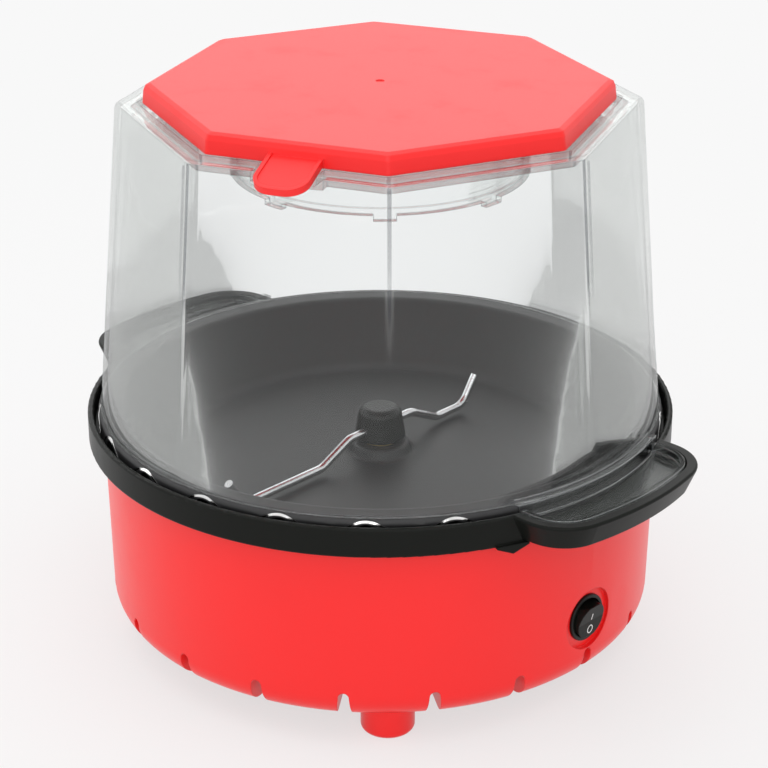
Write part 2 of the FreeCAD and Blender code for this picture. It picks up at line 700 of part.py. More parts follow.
def make_clear_cover():
    edge = COVER_EDGE_RADIUS
    round_foot = eight_arc_circle(cover_radius, COVER_CORNER_RADIUS, pan_rim_z)
    stations = [(cover_top_z - edge, 0), (cover_top_z - 0.3 * edge, 0.3 * edge), (cover_top_z, edge)]
    tops = [octagon(cover_octagon_radius, COVER_CORNER_RADIUS, z, inset) for z, inset in stations]
    outside = Part.makeLoft([round_foot] + tops, True, True)
    inner_foot = eight_arc_circle(cover_radius - COVER_WALL, COVER_CORNER_RADIUS, pan_rim_z)
    inner_top = octagon(cover_octagon_radius, COVER_CORNER_RADIUS, cover_top_z - COVER_WALL, COVER_WALL)
    inside = Part.makeLoft([inner_foot, inner_top], True, True)
    shell = outside.cut(inside)

    corner = COVER_CORNER_RADIUS
    well_outside = octagon_block(
        well_octagon_radius, corner, [(well_under_z, -COVER_WALL), (cover_top_z, -COVER_WALL)])
    well_inside = octagon_block(well_octagon_radius, corner, [(well_floor_z, 0), (cover_top_z + edge, 0)])
    neck_low = neck_bottom_z
    neck = column(NECK_RADIUS, neck_low, well_floor_z)
    bead = column(NECK_RADIUS + NECK_BEAD_DEPTH, neck_low, neck_low + NECK_BEAD_HEIGHT)
    tab_low = neck_low - NECK_TAB_DROP
    tab_ring = column(NECK_RADIUS + NECK_BEAD_DEPTH, tab_low, neck_low)
    tab_bar = Part.makeBox(
        NECK_TAB_WIDTH, 2 * NECK_RADIUS, NECK_TAB_DROP,
        Vector(-NECK_TAB_WIDTH / 2, -2 * NECK_RADIUS, tab_low))
    tabs = [tab_ring.common(turned(tab_bar, az)) for az in evenly(SIDES)]
    bore = column(NECK_RADIUS - COVER_WALL, tab_low, cover_top_z)

    # The rim is lowered to the well's floor where the lid's tab passes over it.
    notch_half = RIM_NOTCH_WIDTH / 2
    well_flat = well_octagon_radius * FACE_COSINE
    bridge = Part.makeBox(
        RIM_NOTCH_WIDTH + 2 * COVER_WALL, cover_radius - well_flat, cover_top_z - well_under_z,
        Vector(-notch_half - COVER_WALL, -cover_radius, well_under_z))
    bridge = turned(bridge, TAB_AZIMUTH).common(outside)
    notch = Part.makeBox(
        RIM_NOTCH_WIDTH, cover_radius - well_flat + COVER_WALL, WELL_DEPTH + edge,
        Vector(-notch_half, -cover_radius, well_floor_z))
    solid = shell.multiFuse([well_outside, bridge, neck, bead] + tabs)
    solid = solid.cut([well_inside, bore, turned(notch, TAB_AZIMUTH)])
    return solid.multiFuse(both_sides(cover_tray())).removeSplitter()


def tab_outline(inset, length):
    """Flat outline of the lift tab, running out along -Y from its root."""
    half = TAB_WIDTH / 2 - inset
    corner = TAB_CORNER_RADIUS - inset
    points = [Vector(x, y, 0) for x, y in ((half, 0), (half, -length), (-half, -length), (-half, 0))]
    return closed_face(points, [0, corner, corner, 0])


def lift_tab():
    """The lid's sloping tab at the front, with a raised border."""
    root_flat = (lid_octagon_radius - LID_EDGE_RADIUS) * FACE_COSINE
    rim_flat = cover_octagon_radius * FACE_COSINE
    slope = math.radians(TAB_SLOPE)
    length = (rim_flat + TAB_OVERHANG - root_flat) / math.cos(slope)
    plate = tab_outline(0, length).extrude(Vector(0, 0, TAB_THICKNESS))
    dish = tab_outline(TAB_BORDER, length - TAB_BORDER).extrude(Vector(0, 0, TAB_RECESS))
    dish.translate(Vector(0, 0, TAB_THICKNESS - TAB_RECESS))
    plate = plate.cut(dish)
    plate.rotate(ORIGIN, Vector(1, 0, 0), TAB_SLOPE)
    drop = (rim_flat - root_flat) * math.tan(slope)
    plate.translate(Vector(0, -root_flat, well_floor_z + TAB_CLEARANCE + drop))
    return plate


def make_lid():
    edge = LID_EDGE_RADIUS
    stations = [
        (lid_bottom_z, -LID_DRAFT), (lid_top_z - edge, 0),
        (lid_top_z - 0.3 * edge, 0.3 * edge), (lid_top_z, edge)]
    outside = octagon_block(lid_octagon_radius, LID_CORNER_RADIUS, stations)
    inside = octagon_block(
        lid_octagon_radius, LID_CORNER_RADIUS,
        [(lid_bottom_z, LID_WALL - LID_DRAFT), (lid_under_z - edge / 2, LID_WALL),
         (lid_under_z, LID_WALL + edge / 2)])
    tab = turned(lift_tab(), TAB_AZIMUTH).cut(inside)
    seat_radius = NECK_RADIUS + LID_SEAT_OFFSET
    seat = annulus(seat_radius - LID_WALL, seat_radius, well_floor_z, lid_under_z)
    plug_radius = NECK_RADIUS - COVER_WALL - LID_PLUG_GAP
    plug = annulus(plug_radius - LID_WALL, plug_radius, well_floor_z - LID_PLUG_DROP, lid_under_z)
    dimple = column(LID_DIMPLE_RADIUS, lid_top_z - LID_DIMPLE_DEPTH, lid_top_z)
    return outside.cut([inside, dimple]).multiFuse([tab, seat, plug]).removeSplitter()


def socket_screw(head_z, centre, down):
    """Round-headed screw; its head's seat lies at head_z and its shank runs down or up."""
    sign = -1 if down else 1
    seat = Vector(centre.x, centre.y, head_z)
    head = Part.makeCylinder(SCREW_HEAD_RADIUS, SCREW_HEAD_HEIGHT, seat, Vector(0, 0, -sign))
    return head.fuse(Part.makeCylinder(SCREW_RADIUS - PART_FIT, SCREW_SHANK, seat, Vector(0, 0, sign)))


def make_ring_screws():
    return repeated(socket_screw(ring_floor_z, polar(ring_boss_circle, 0, 0), True), boss_azimuths)


def make_base_screws():
    centre = polar(foot_circle_radius, 0, 0)
    return repeated(socket_screw(tower_top_z - TOWER_CAP, centre, False), foot_azimuths)


def make_pan_brackets():
    """Z-shaped straps from under the pan's floor down to the towers of the base."""
    foot_end = foot_circle_radius + TOWER_RADIUS
    path = section([
        (bracket_inner_radius, pan_under_z), (bracket_leg_radius, pan_under_z),
        (bracket_leg_radius, tower_top_z + BRACKET_SHEET), (foot_end, tower_top_z + BRACKET_SHEET)])
    outer_bend = BRACKET_BEND_RADIUS + BRACKET_SHEET
    face = sheet_face(path, [outer_bend, BRACKET_BEND_RADIUS], -BRACKET_SHEET)
    strap = face.extrude(Vector(0, BRACKET_WIDTH, 0))
    strap.translate(Vector(0, -BRACKET_WIDTH / 2, 0))
    hole = column(SCREW_RADIUS, tower_top_z, tower_top_z + BRACKET_SHEET, Vector(foot_circle_radius, 0, 0))
    strap = turned(strap.cut(hole), -90)
    return repeated(strap, foot_azimuths)


def make_heating_element():
    half_gap = ELEMENT_GAP_ANGLE / 2
    start = polar(element_radius, 180 + half_gap, element_z)
    middle = polar(element_radius, 0, element_z)
    end = polar(element_radius, 180 - half_gap, element_z)
    ring = Part.Arc(start, middle, end).toShape()
    slant = math.sqrt(0.5)

    def bend(point, tangent):
        crest = point + tangent * (ELEMENT_BEND_RADIUS * slant) - UP * (ELEMENT_BEND_RADIUS * (1 - slant))
        foot = point + (tangent - UP) * ELEMENT_BEND_RADIUS
        return crest, foot, foot - UP * ELEMENT_TAIL

    first_crest, first_foot, first_end = bend(start, polar(1, 180 + half_gap - 90, 0))
    last_crest, last_foot, last_end = bend(end, polar(1, 180 - half_gap + 90, 0))
    edges = [
        Part.makeLine(first_end, first_foot), Part.Arc(first_foot, first_crest, start).toShape(),
        ring, Part.Arc(end, last_crest, last_foot).toShape(), Part.makeLine(last_foot, last_end)]
    return swept_tube(edges, ELEMENT_TUBE_RADIUS)


def saddle(tube_radius, width, ear):
    """Strap that holds a tube against the pan: ears on the pan, a bridge under the tube."""
    half = tube_radius + CONTACT_GAP
    return bridge_strap(half, 2 * half, width, ear)


def bridge_strap(half, depth, width, ear):
    """Bent strip with two ears on the pan's underside and a bridge below them."""
    low = pan_under_z - depth
    reach = half + CLAMP_SHEET + ear
    bend = CLAMP_SHEET / 2
    path = section([
        (-reach, pan_under_z), (-half, pan_under_z), (-half, low),
        (half, low), (half, pan_under_z), (reach, pan_under_z)])
    face = sheet_face(path, [bend + CLAMP_SHEET, bend, bend, bend + CLAMP_SHEET], -CLAMP_SHEET)
    strap = face.extrude(Vector(0, width, 0))
    strap.translate(Vector(0, -width / 2, 0))
    return strap


def make_element_clamps():
    strap = saddle(ELEMENT_TUBE_RADIUS, CLAMP_WIDTH, CLAMP_EAR)
    strap.translate(Vector(element_radius, 0, 0))
    return repeated(turned(strap, -90), CLAMP_AZIMUTHS)


def make_heat_shield():
    hole = MOTOR_BOSS_RADIUS + SHIELD_HOLE_GAP
    shield = spun_sheet(
        [(hole, shield_top_z), (SHIELD_RADIUS, shield_top_z), (SHIELD_RADIUS, shield_top_z - SHIELD_RIM)],
        [SHIELD_BEND_RADIUS], -SHIELD_SHEET)
    stud = column(SCREW_RADIUS + SCREW_HOLE_GAP, 0, cover_top_z, polar(STANDOFF_OFFSET, 0, 0))
    ear = column(SCREW_RADIUS + SCREW_HOLE_GAP, 0, cover_top_z, Vector(MOTOR_SCREW_SPAN, 0, 0))
    studs = [turned(stud, az) for az in evenly(STANDOFF_COUNT, STANDOFF_FIRST_AZIMUTH)]
    return shield.cut(studs + both_sides(ear))


def make_shield_standoffs():
    centre = polar(STANDOFF_OFFSET, 0, 0)
    post = column(STANDOFF_RADIUS, shield_top_z, pan_under_z, centre)
    post = post.cut(column(SCREW_RADIUS, shield_top_z, shield_top_z + SCREW_SHANK, centre))
    return repeated(post, evenly(STANDOFF_COUNT, STANDOFF_FIRST_AZIMUTH))


def make_shield_screws():
    screw = socket_screw(motor_top_z, polar(STANDOFF_OFFSET, 0, 0), False)
    return repeated(screw, evenly(STANDOFF_COUNT, STANDOFF_FIRST_AZIMUTH))


def make_motor_body():
    low = motor_top_z - MOTOR_HEIGHT
    can = spun_polygon(
        [(0, low), (MOTOR_RADIUS, low), (MOTOR_RADIUS, motor_top_z), (0, motor_top_z)],
        [0, SHIELD_BEND_RADIUS, 0, 0])
    boss = column(MOTOR_BOSS_RADIUS, motor_top_z, motor_top_z + MOTOR_BOSS_HEIGHT)
    half_ear = MOTOR_EAR_WIDTH / 2
    ear = Part.makeBox(
        2 * MOTOR_EAR_REACH, MOTOR_EAR_WIDTH, MOTOR_EAR,
        Vector(-MOTOR_EAR_REACH, -half_ear, motor_top_z - MOTOR_EAR))
    socket_low = motor_top_z + MOTOR_BOSS_HEIGHT - SHAFT_SOCKET
    socket = column(SHAFT_RADIUS + SHAFT_CLEARANCE, socket_low, motor_top_z + MOTOR_BOSS_HEIGHT)
    hole = column(SCREW_RADIUS + SCREW_HOLE_GAP, low, motor_top_z, Vector(MOTOR_SCREW_SPAN, 0, 0))
    plug = Part.makeBox(
        MOTOR_PLUG_WIDTH, MOTOR_PLUG_REACH + MOTOR_RADIUS / 2, MOTOR_HEIGHT / 2,
        Vector(-MOTOR_PLUG_WIDTH / 2, MOTOR_RADIUS / 2, low + MOTOR_HEIGHT / 4))
    return can.multiFuse([boss, ear, plug]).cut([socket] + both_sides(hole)).removeSplitter()


def make_motor_screws():
    screw = socket_screw(motor_top_z - MOTOR_EAR, Vector(MOTOR_SCREW_SPAN, 0, 0), False)
    return repeated(screw, (0, 180))


def make_shaft_bush():
    bore = SHAFT_RADIUS + SHAFT_CLEARANCE
    seat = bush_top_z - BUSH_FLANGE
    low = seat - PAN_SHEET - BUSH_TAIL
    return spun_polygon([
        (bore, low), (BUSH_RADIUS, low), (BUSH_RADIUS, seat), (BUSH_FLANGE_RADIUS, seat),
        (BUSH_FLANGE_RADIUS, bush_top_z), (bore, bush_top_z)])


motor_plug_y = MOTOR_RADIUS + MOTOR_PLUG_REACH
clip_top_z = bush_top_z - BUSH_FLANGE - PAN_SHEET - BUSH_TAIL - RUN_GAP
shaft_bottom_z = motor_top_z + MOTOR_BOSS_HEIGHT - SHAFT_SOCKET + RUN_GAP
shaft_top_z = hub_bottom_z + SHAFT_RISE


def drive_flat(radius, flat, low, high):
    """A round bar with one flat side, as the shaft's top and the hub's bore have."""
    bar = column(radius, low, high)
    side = Part.makeBox(2 * radius, 2 * radius, high - low, Vector(radius - flat, -radius, low))
    return bar.cut(side)


def make_drive_shaft():
    shaft = column(SHAFT_RADIUS, shaft_bottom_z, hub_bottom_z)
    shaft = shaft.fuse(drive_flat(SHAFT_RADIUS, SHAFT_FLAT, hub_bottom_z, shaft_top_z))
    groove_low = clip_top_z - CLIP_THICKNESS
    groove = annulus(SHAFT_RADIUS - CLIP_GROOVE, SHAFT_RADIUS + CLIP_GROOVE, groove_low, clip_top_z)
    return shaft.cut(groove)


def make_shaft_clip():
    inner = SHAFT_RADIUS - CLIP_GROOVE + PART_FIT
    low = clip_top_z - CLIP_THICKNESS + PART_FIT
    ring = annulus(inner, CLIP_RADIUS, low, clip_top_z - PART_FIT)
    mouth = Part.makeBox(
        2 * inner, 2 * CLIP_RADIUS, 2 * CLIP_THICKNESS,
        Vector(-inner, -2 * CLIP_RADIUS, low - CLIP_THICKNESS / 2))
    return ring.cut(mouth)


rod_z = pan_floor_z + ROD_FLOOR_GAP + ROD_RADIUS
rod_hub_z = hub_bottom_z + HUB_HEIGHT / 3


def make_stirrer_hub():
    top = hub_bottom_z + HUB_HEIGHT
    hub = spun_polygon(
        [(0, hub_bottom_z), (HUB_RADIUS, hub_bottom_z), (HUB_RADIUS * 0.8, top), (0, top)],
        [0, HUB_FOOT_ROUND, HUB_CAP_ROUND, 0])
    bore = drive_flat(
        SHAFT_RADIUS + HUB_FIT, SHAFT_FLAT, hub_bottom_z, shaft_top_z + RUN_GAP)
    seat = rod_between(
        ROD_RADIUS + PART_FIT, Vector(0, -2 * HUB_RADIUS, rod_hub_z),
        Vector(0, -HUB_RADIUS + ROD_SEAT, rod_hub_z))
    return hub.cut([bore] + both_sides(seat))


def stirrer_rod(reach, tip_run):
    """Bent wire from the hub down to the pan's floor, with its tip following the pan's wall up."""
    drop_run = HUB_RADIUS + 3 * ROD_BEND_RADIUS
    points = [
        Vector(0, -HUB_RADIUS + ROD_SEAT, rod_hub_z), Vector(0, -HUB_RADIUS - ROD_BEND_RADIUS, rod_hub_z),
        Vector(0, -drop_run, rod_z), Vector(0, -reach, rod_z),
        Vector(0, -reach - tip_run, rod_z + ROD_TIP_RISE)]
    return swept_tube(rounded_edges(points, [ROD_BEND_RADIUS] * 3), ROD_RADIUS)


def make_stirrer_rods():
    long_rod = stirrer_rod(pan_floor_radius - ROD_WALL_GAP, ROD_TIP_RUN)
    short_rod = turned(stirrer_rod(ROD_SHORT_REACH, ROD_TIP_RUN), 180)
    return Part.makeCompound([long_rod, short_rod])


def make_thermostat():
    top = pan_under_z - CONTACT_GAP
    centre = polar(CONTROL_OFFSET, 0, 0)
    body = column(THERMOSTAT_RADIUS, top - THERMOSTAT_HEIGHT, top, centre)
    cap_low = top - THERMOSTAT_HEIGHT - THERMOSTAT_CAP_HEIGHT
    cap = column(THERMOSTAT_CAP_RADIUS, cap_low, top, centre)
    blades = []
    for side in (-1, 1):
        corner = centre + Vector(side * THERMOSTAT_CAP_RADIUS / 2 - BLADE_THICKNESS / 2, -BLADE_WIDTH / 2, 0)
        corner.z = cap_low - BLADE_LENGTH
        blades.append(Part.makeBox(BLADE_THICKNESS, BLADE_WIDTH, BLADE_LENGTH, corner))
    return turned(body.multiFuse([cap] + blades), THERMOSTAT_AZIMUTH)


def make_thermostat_clip():
    """Spring strip that presses the thermostat against the pan, with a hole for its cap."""
    depth = THERMOSTAT_HEIGHT + 2 * CONTACT_GAP
    width = 2 * THERMOSTAT_CAP_RADIUS + 2 * CLAMP_EAR
    strip = bridge_strap(THERMOSTAT_RADIUS + CONTACT_GAP, depth, width, CLAMP_EAR)
    low = pan_under_z - depth
    strip = strip.cut(column(THERMOSTAT_CAP_RADIUS + CONTACT_GAP, low - 2 * CLAMP_SHEET, low + CLAMP_SHEET))
    strip.translate(Vector(0, -CONTROL_OFFSET, 0))
    return turned(strip, THERMOSTAT_AZIMUTH)


def make_thermal_fuse():
    z = pan_under_z - FUSE_RADIUS - CONTACT_GAP
    half = FUSE_LENGTH / 2
    middle = CONTROL_OFFSET
    fuse = rod_between(FUSE_RADIUS, Vector(-half, -middle, z), Vector(half, -middle, z))
    wire_end = half + FUSE_PIN
    pin = rod_between(BLADE_THICKNESS, Vector(-wire_end, -middle, z), Vector(wire_end, -middle, z))
    return turned(fuse.fuse(pin), FUSE_AZIMUTH)


def make_fuse_clip():
    strap = saddle(FUSE_RADIUS, FUSE_CLIP_WIDTH, CLAMP_EAR)
    strap.translate(Vector(CONTROL_OFFSET, 0, 0))
    return turned(strap, FUSE_AZIMUTH - 90)


rocker_pivot = switch_axis - Vector(ROCKER_PIVOT_DEPTH, 0, 0)
switch_back_x = switch_face_x - SWITCH_BODY_DEPTH


def make_switch_housing():
    face_x = switch_face_x + SWITCH_BEZEL
    can = along_x(SWITCH_BODY_RADIUS, switch_back_x, switch_face_x + PART_FIT, SWITCH_HEIGHT)
    bezel = along_x(SWITCH_BEZEL_RADIUS, switch_face_x, face_x, SWITCH_HEIGHT)
    rim = [e for e in bezel.Edges if abs(e.BoundBox.Center.x - face_x) < PART_FIT]
    bezel = bezel.makeFillet(SWITCH_BEZEL / 2, rim)
    pocket = along_x(
        ROCKER_RADIUS + ROCKER_GAP, face_x - SWITCH_BEZEL - ROCKER_POCKET_DEPTH, face_x, SWITCH_HEIGHT)
    axle_radius = TRUNNION_RADIUS + TRUNNION_CLEARANCE
    axle = along_y(axle_radius, -SWITCH_BODY_RADIUS, SWITCH_BODY_RADIUS, rocker_pivot.z)
    axle.translate(Vector(rocker_pivot.x, 0, 0))
    return can.fuse(bezel).cut([pocket, axle])


def make_switch_rocker():
    """Round rocker, drawn level and tipped so that its lower half is pressed in."""
    end_half = 0.94 * ROCKER_RADIUS
    valley = ROCKER_PROUD + ROCKER_PIVOT_DEPTH
    end_out = valley + end_half * math.tan(math.radians(ROCKER_DISH_ANGLE))
    outline = [
        (valley, 0), (end_out, end_half), (-ROCKER_BACK, ROCKER_BACK_HALF),
        (-ROCKER_BACK, -ROCKER_BACK_HALF), (end_out, -end_half)]
    points = [Vector(x, -ROCKER_RADIUS, z) for x, z in outline]
    wedge = Part.Face(Part.makePolygon(points + [points[0]])).extrude(Vector(0, 2 * ROCKER_RADIUS, 0))
    round_bar = along_x(ROCKER_RADIUS, -ROCKER_BACK, 2 * ROCKER_RADIUS, 0)
    rocker = wedge.common(round_bar)
    reach = ROCKER_RADIUS + ROCKER_GAP + TRUNNION_LENGTH
    rocker = rocker.fuse(along_y(TRUNNION_RADIUS, -reach, reach, 0))
    rocker.rotate(ORIGIN, Vector(0, 1, 0), ROCKER_THROW / 2)
    rocker.translate(rocker_pivot)
    return rocker


def switch_blade_z(side):
    return SWITCH_HEIGHT + side * SWITCH_BODY_RADIUS / 2


def make_switch_terminals():
    blades = []
    for side in (-1, 1):
        z = switch_blade_z(side) - BLADE_THICKNESS / 2
        corner = Vector(switch_back_x - BLADE_LENGTH, -BLADE_WIDTH / 2, z)
        blades.append(Part.makeBox(BLADE_LENGTH, BLADE_WIDTH, BLADE_THICKNESS, corner))
    return Part.makeCompound(blades)


block_low_z = plate_top_z + BLOCK_PAD_HEIGHT
block_port_z = block_low_z + BLOCK_HEIGHT / 2
block_front_y = BLOCK_DISTANCE - BLOCK_WIDTH / 2
block_port_x = [BLOCK_PITCH * (i - (BLOCK_PORTS - 1) / 2) for i in range(BLOCK_PORTS)]


def make_terminal_block():
    block = Part.makeBox(
        BLOCK_LENGTH, BLOCK_WIDTH, BLOCK_HEIGHT, Vector(-BLOCK_LENGTH / 2, block_front_y, block_low_z))
    ports = []
    for x in block_port_x:
        for y, inward in ((block_front_y, 1), (block_front_y + BLOCK_WIDTH, -1)):
            mouth = Vector(x, y, block_port_z)
            bottom = Vector(x, y + inward * BLOCK_PORT_DEPTH, block_port_z)
            ports.append(rod_between(BLOCK_PORT_RADIUS, mouth, bottom))
    top = block_low_z + BLOCK_HEIGHT
    middle = Vector(0, BLOCK_DISTANCE, 0)
    head = column(SCREW_HEAD_RADIUS + SCREW_HOLE_GAP, top - SCREW_HEAD_HEIGHT, top, middle)
    hole = column(SCREW_RADIUS + SCREW_HOLE_GAP, block_low_z, top, middle)
    return block.cut(ports + [head, hole])


def make_block_screw():
    seat = block_low_z + BLOCK_HEIGHT - SCREW_HEAD_HEIGHT
    return socket_screw(seat, Vector(0, BLOCK_DISTANCE, 0), True)


def lead(points):
    return swept_tube(rounded_edges(points, [LEAD_BEND_RADIUS] * (len(points) - 2)), LEAD_RADIUS)


def block_entry(x, turn):
    """Last points of a lead that runs level into a front port of the block."""
    bottom = block_front_y + BLOCK_PORT_DEPTH
    return [Vector(x, block_front_y - turn, block_port_z), Vector(x, bottom, block_port_z)]


def thermostat_blade_face(side):
    """Outer face of a thermostat blade, where its lead is joined."""
    z = pan_under_z - THERMOSTAT_HEIGHT - THERMOSTAT_CAP_HEIGHT - BLADE_LENGTH / 2
    centre = polar(CONTROL_OFFSET, THERMOSTAT_AZIMUTH, z)
    outward = polar(side, THERMOSTAT_AZIMUTH + 90, 0)
    reach = (THERMOSTAT_CAP_RADIUS + BLADE_THICKNESS) / 2 + CONTACT_GAP
    return centre + outward * reach, outward


def element_tail_side(azimuth_side):
    """Point on an element tail's inner side, where its lead is joined."""
    azimuth = 180 + azimuth_side * ELEMENT_GAP_ANGLE / 2
    tail = polar(element_radius, azimuth, element_z - ELEMENT_BEND_RADIUS - ELEMENT_TAIL / 2)
    tail = tail + polar(ELEMENT_BEND_RADIUS, azimuth - 90 * azimuth_side, 0)
    return tail - Vector(0, ELEMENT_TUBE_RADIUS + CONTACT_GAP, 0)


def fuse_pin_end(side):
    along = polar(side, FUSE_AZIMUTH + 90, 0)
    centre = polar(CONTROL_OFFSET, FUSE_AZIMUTH, pan_under_z - FUSE_RADIUS - CONTACT_GAP)
    return centre + along * (FUSE_LENGTH / 2 + FUSE_PIN + CONTACT_GAP), along


def make_wiring_leads():
    """Leads between the block, the switch, the thermostat, the heater, the fuse and the motor."""
    turn = 1.6 * LEAD_BEND_RADIUS
    blade_x = switch_back_x - BLADE_LENGTH - CONTACT_GAP
    low = Vector(blade_x, 0, switch_blade_z(-1))
    high = Vector(blade_x, 0, switch_blade_z(1))
    inward = Vector(-turn, 0, 0)
    way_round = polar(MOTOR_EAR_REACH + 2 * turn, 135, block_port_z)
    feed = lead([low, low + inward, way_round] + block_entry(block_port_x[3], turn))
    near_face, near_way = thermostat_blade_face(-1)
    switched = lead([high, high + inward, near_face + near_way * turn, near_face])
    far_face, far_way = thermostat_blade_face(1)
    right_tail = element_tail_side(-1)
    back_off = Vector(0, -turn, 0)
    to_heater = lead([far_face, far_face + far_way * turn, right_tail + back_off, right_tail])
    back_pin, back_way = fuse_pin_end(-1)
    left_tail = element_tail_side(1)
    from_heater = lead([left_tail, left_tail + back_off, back_pin + back_way * turn, back_pin])
    front_pin, front_way = fuse_pin_end(1)
    shield_edge = polar(SHIELD_RADIUS + LEAD_BEND_RADIUS, FUSE_AZIMUTH + 25, shield_top_z)
    side_way = polar(MOTOR_EAR_REACH + 2 * turn, 232, block_port_z)
    neutral = [front_pin, front_pin + front_way * turn, shield_edge, side_way]
    leads = [feed, switched, to_heater, from_heater, lead(neutral + block_entry(block_port_x[0], turn))]
    for x in block_port_x[1:3]:
        start = Vector(x, motor_plug_y + CONTACT_GAP, motor_top_z - MOTOR_HEIGHT / 2)
        leads.append(lead([start, start + Vector(0, turn, 0)] + block_entry(x, turn)))
    return Part.makeCompound(leads)


def make_cord_gland():
    flange_out = gland_face_y + GLAND_FLANGE
    tail = gland_face_y - 2 * BASE_WALL - GLAND_TAIL
    gland = along_y(GLAND_RADIUS, tail, gland_face_y, GLAND_HEIGHT)
    flange = along_y(GLAND_FLANGE_RADIUS, gland_face_y, flange_out, GLAND_HEIGHT)
    rim = [e for e in flange.Edges if abs(e.BoundBox.Center.y - flange_out) < PART_FIT]
    flange = flange.makeFillet(GLAND_FLANGE / 2, rim)
    collar = along_y(GLAND_RADIUS + GLAND_COLLAR, tail, gland_face_y - 2 * BASE_WALL, GLAND_HEIGHT)
    return gland.multiFuse([flange, collar]).cut(along_y(GLAND_BORE_RADIUS, tail, flange_out, GLAND_HEIGHT))


PARTS = {
    "base_housing": make_base_housing,
    "handle_ring": make_handle_ring,
    "ring_screws": make_ring_screws,
    "heating_pan": make_heating_pan,
    "pan_brackets": make_pan_brackets,
    "base_screws": make_base_screws,
    "heating_element": make_heating_element,
    "element_clamps": make_element_clamps,
    "heat_shield": make_heat_shield,
    "shield_standoffs": make_shield_standoffs,
    "shield_screws": make_shield_screws,
    "motor_body": make_motor_body,
    "motor_screws": make_motor_screws,
    "shaft_bush": make_shaft_bush,
    "thermostat": make_thermostat,
    "thermostat_clip": make_thermostat_clip,
    "thermal_fuse": make_thermal_fuse,
    "fuse_clip": make_fuse_clip,
    "switch_housing": make_switch_housing,
    "switch_terminals": make_switch_terminals,
    "terminal_block": make_terminal_block,
    "block_screw": make_block_screw,
    "wiring_leads": make_wiring_leads,
    "cord_gland": make_cord_gland,
    "switch_rocker": make_switch_rocker,
    "drive_shaft": make_drive_shaft,
    "shaft_clip": make_shaft_clip,
    "stirrer_hub": make_stirrer_hub,
    "stirrer_rods": make_stirrer_rods,
    "clear_cover": make_clear_cover,
    "lid": make_lid,
}

os.makedirs("parts", exist_ok=True)
for name, make in PARTS.items():
    shape = make()
    if not shape.isValid():
        raise ValueError(name + " is not a valid shape")
    print(name, len(shape.Solids), "solids", round(shape.Volume), "mm3")
    shape.exportStep("parts/" + name + ".step")
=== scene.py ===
import math

import bmesh
import bpy
from bpy.props import FloatProperty, FloatVectorProperty, IntProperty, PointerProperty
from mathutils import Matrix, Vector
from mathutils.bvhtree import BVHTree


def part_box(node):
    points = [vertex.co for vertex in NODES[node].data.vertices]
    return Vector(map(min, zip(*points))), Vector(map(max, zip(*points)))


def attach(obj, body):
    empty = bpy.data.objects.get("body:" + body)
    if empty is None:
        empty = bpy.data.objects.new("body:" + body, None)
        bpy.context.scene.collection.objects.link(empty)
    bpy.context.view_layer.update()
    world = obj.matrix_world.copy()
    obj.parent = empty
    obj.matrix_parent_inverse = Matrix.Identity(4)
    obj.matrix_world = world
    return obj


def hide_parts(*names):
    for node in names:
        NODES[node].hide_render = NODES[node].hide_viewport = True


bl_info = {
    "name": "Popcorn maker dressing",
    "version": (1, 0, 0),
    "blender": (4, 5, 0),
    "location": "View3D > Sidebar > Popcorn maker",
    "description": "Finishes the pieces of a stirred popcorn maker and sets up its studio",
    "category": "Object",
}

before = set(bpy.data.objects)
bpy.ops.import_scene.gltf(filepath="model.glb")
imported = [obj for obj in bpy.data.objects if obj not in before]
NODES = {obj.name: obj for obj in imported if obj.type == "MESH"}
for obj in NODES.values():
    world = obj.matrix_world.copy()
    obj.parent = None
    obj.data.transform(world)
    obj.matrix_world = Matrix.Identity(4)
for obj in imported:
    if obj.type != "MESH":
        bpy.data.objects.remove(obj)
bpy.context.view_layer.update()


def box_middle(node):
    """Middle of a node's box."""
    low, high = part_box(node)
    return (low + high) / 2


# Sizes read off the frame, in metres
PAN_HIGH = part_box("heating_pan")[1]
RING_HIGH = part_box("handle_ring")[1]
COVER_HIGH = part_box("clear_cover")[1]
ROCKER_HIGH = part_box("switch_rocker")[1]
PAN_RADIUS = PAN_HIGH.x

# Sizes of the dressing, in metres
PAN_SKIRT_HEIGHT = 0.0093
PAN_SKIRT_FOOT = PAN_HIGH.z - PAN_SKIRT_HEIGHT
PAN_FLOOR_RADIUS = 0.096
PAN_FLOOR_BLEND = 0.004
COVER_CORNERS = 8
NECK_LIMIT_RADIUS = 0.080
NECK_BLEND = 0.002
TRAY_LOW, TRAY_HIGH = RING_HIGH.z + 0.004, RING_HIGH.z + 0.010
MOULDED_EDGE = 0.0007
COVER_EDGE = 0.0009
# Distance from a corner of the cover where its painted dark line starts to fade, and where it is gone
CORNER_CORE_WIDTH = (0.0005, 0.0011)
CORNER_FLANK_WIDTH = (0.0014, 0.0022)
SIGN_THICKNESS = 0.00016
SIGN_SINK = 0.00004
RAY_START = 0.02
WELD_DISTANCE = 1e-6

# Shares of the off sign's half height
SIGN_HALF_WIDTH = 0.87
BAR_HALF_HEIGHT = 0.76

# Noise of the finishes: waves per metre
FLOW_SCALE = 9.0
RIPPLE_SCALE = 22.0
SMEAR_SCALE = 14.0
RUB_SCALE = 38.0
TARNISH_SCALE = 60.0
DUST_SCALE = 140.0
WEAR_SCALE = 260.0
RUBBER_GRAIN_SCALE = 900.0
SPECKLE_SCALE = 1500.0
PRINT_SCALE = 2500.0
FLOOR_SCALE = 5.0
# Streaks of drawn metal: the noise is pressed together along Z
STREAK_SCALE = 6.0
STREAK_STRETCH = (40.0, 40.0, 900.0)

# Rounded edges: rays per look-up, and how far the normal bends where an edge starts and is full
BEVEL_SAMPLES = 4
EDGE_BEND = (0.012, 0.10)
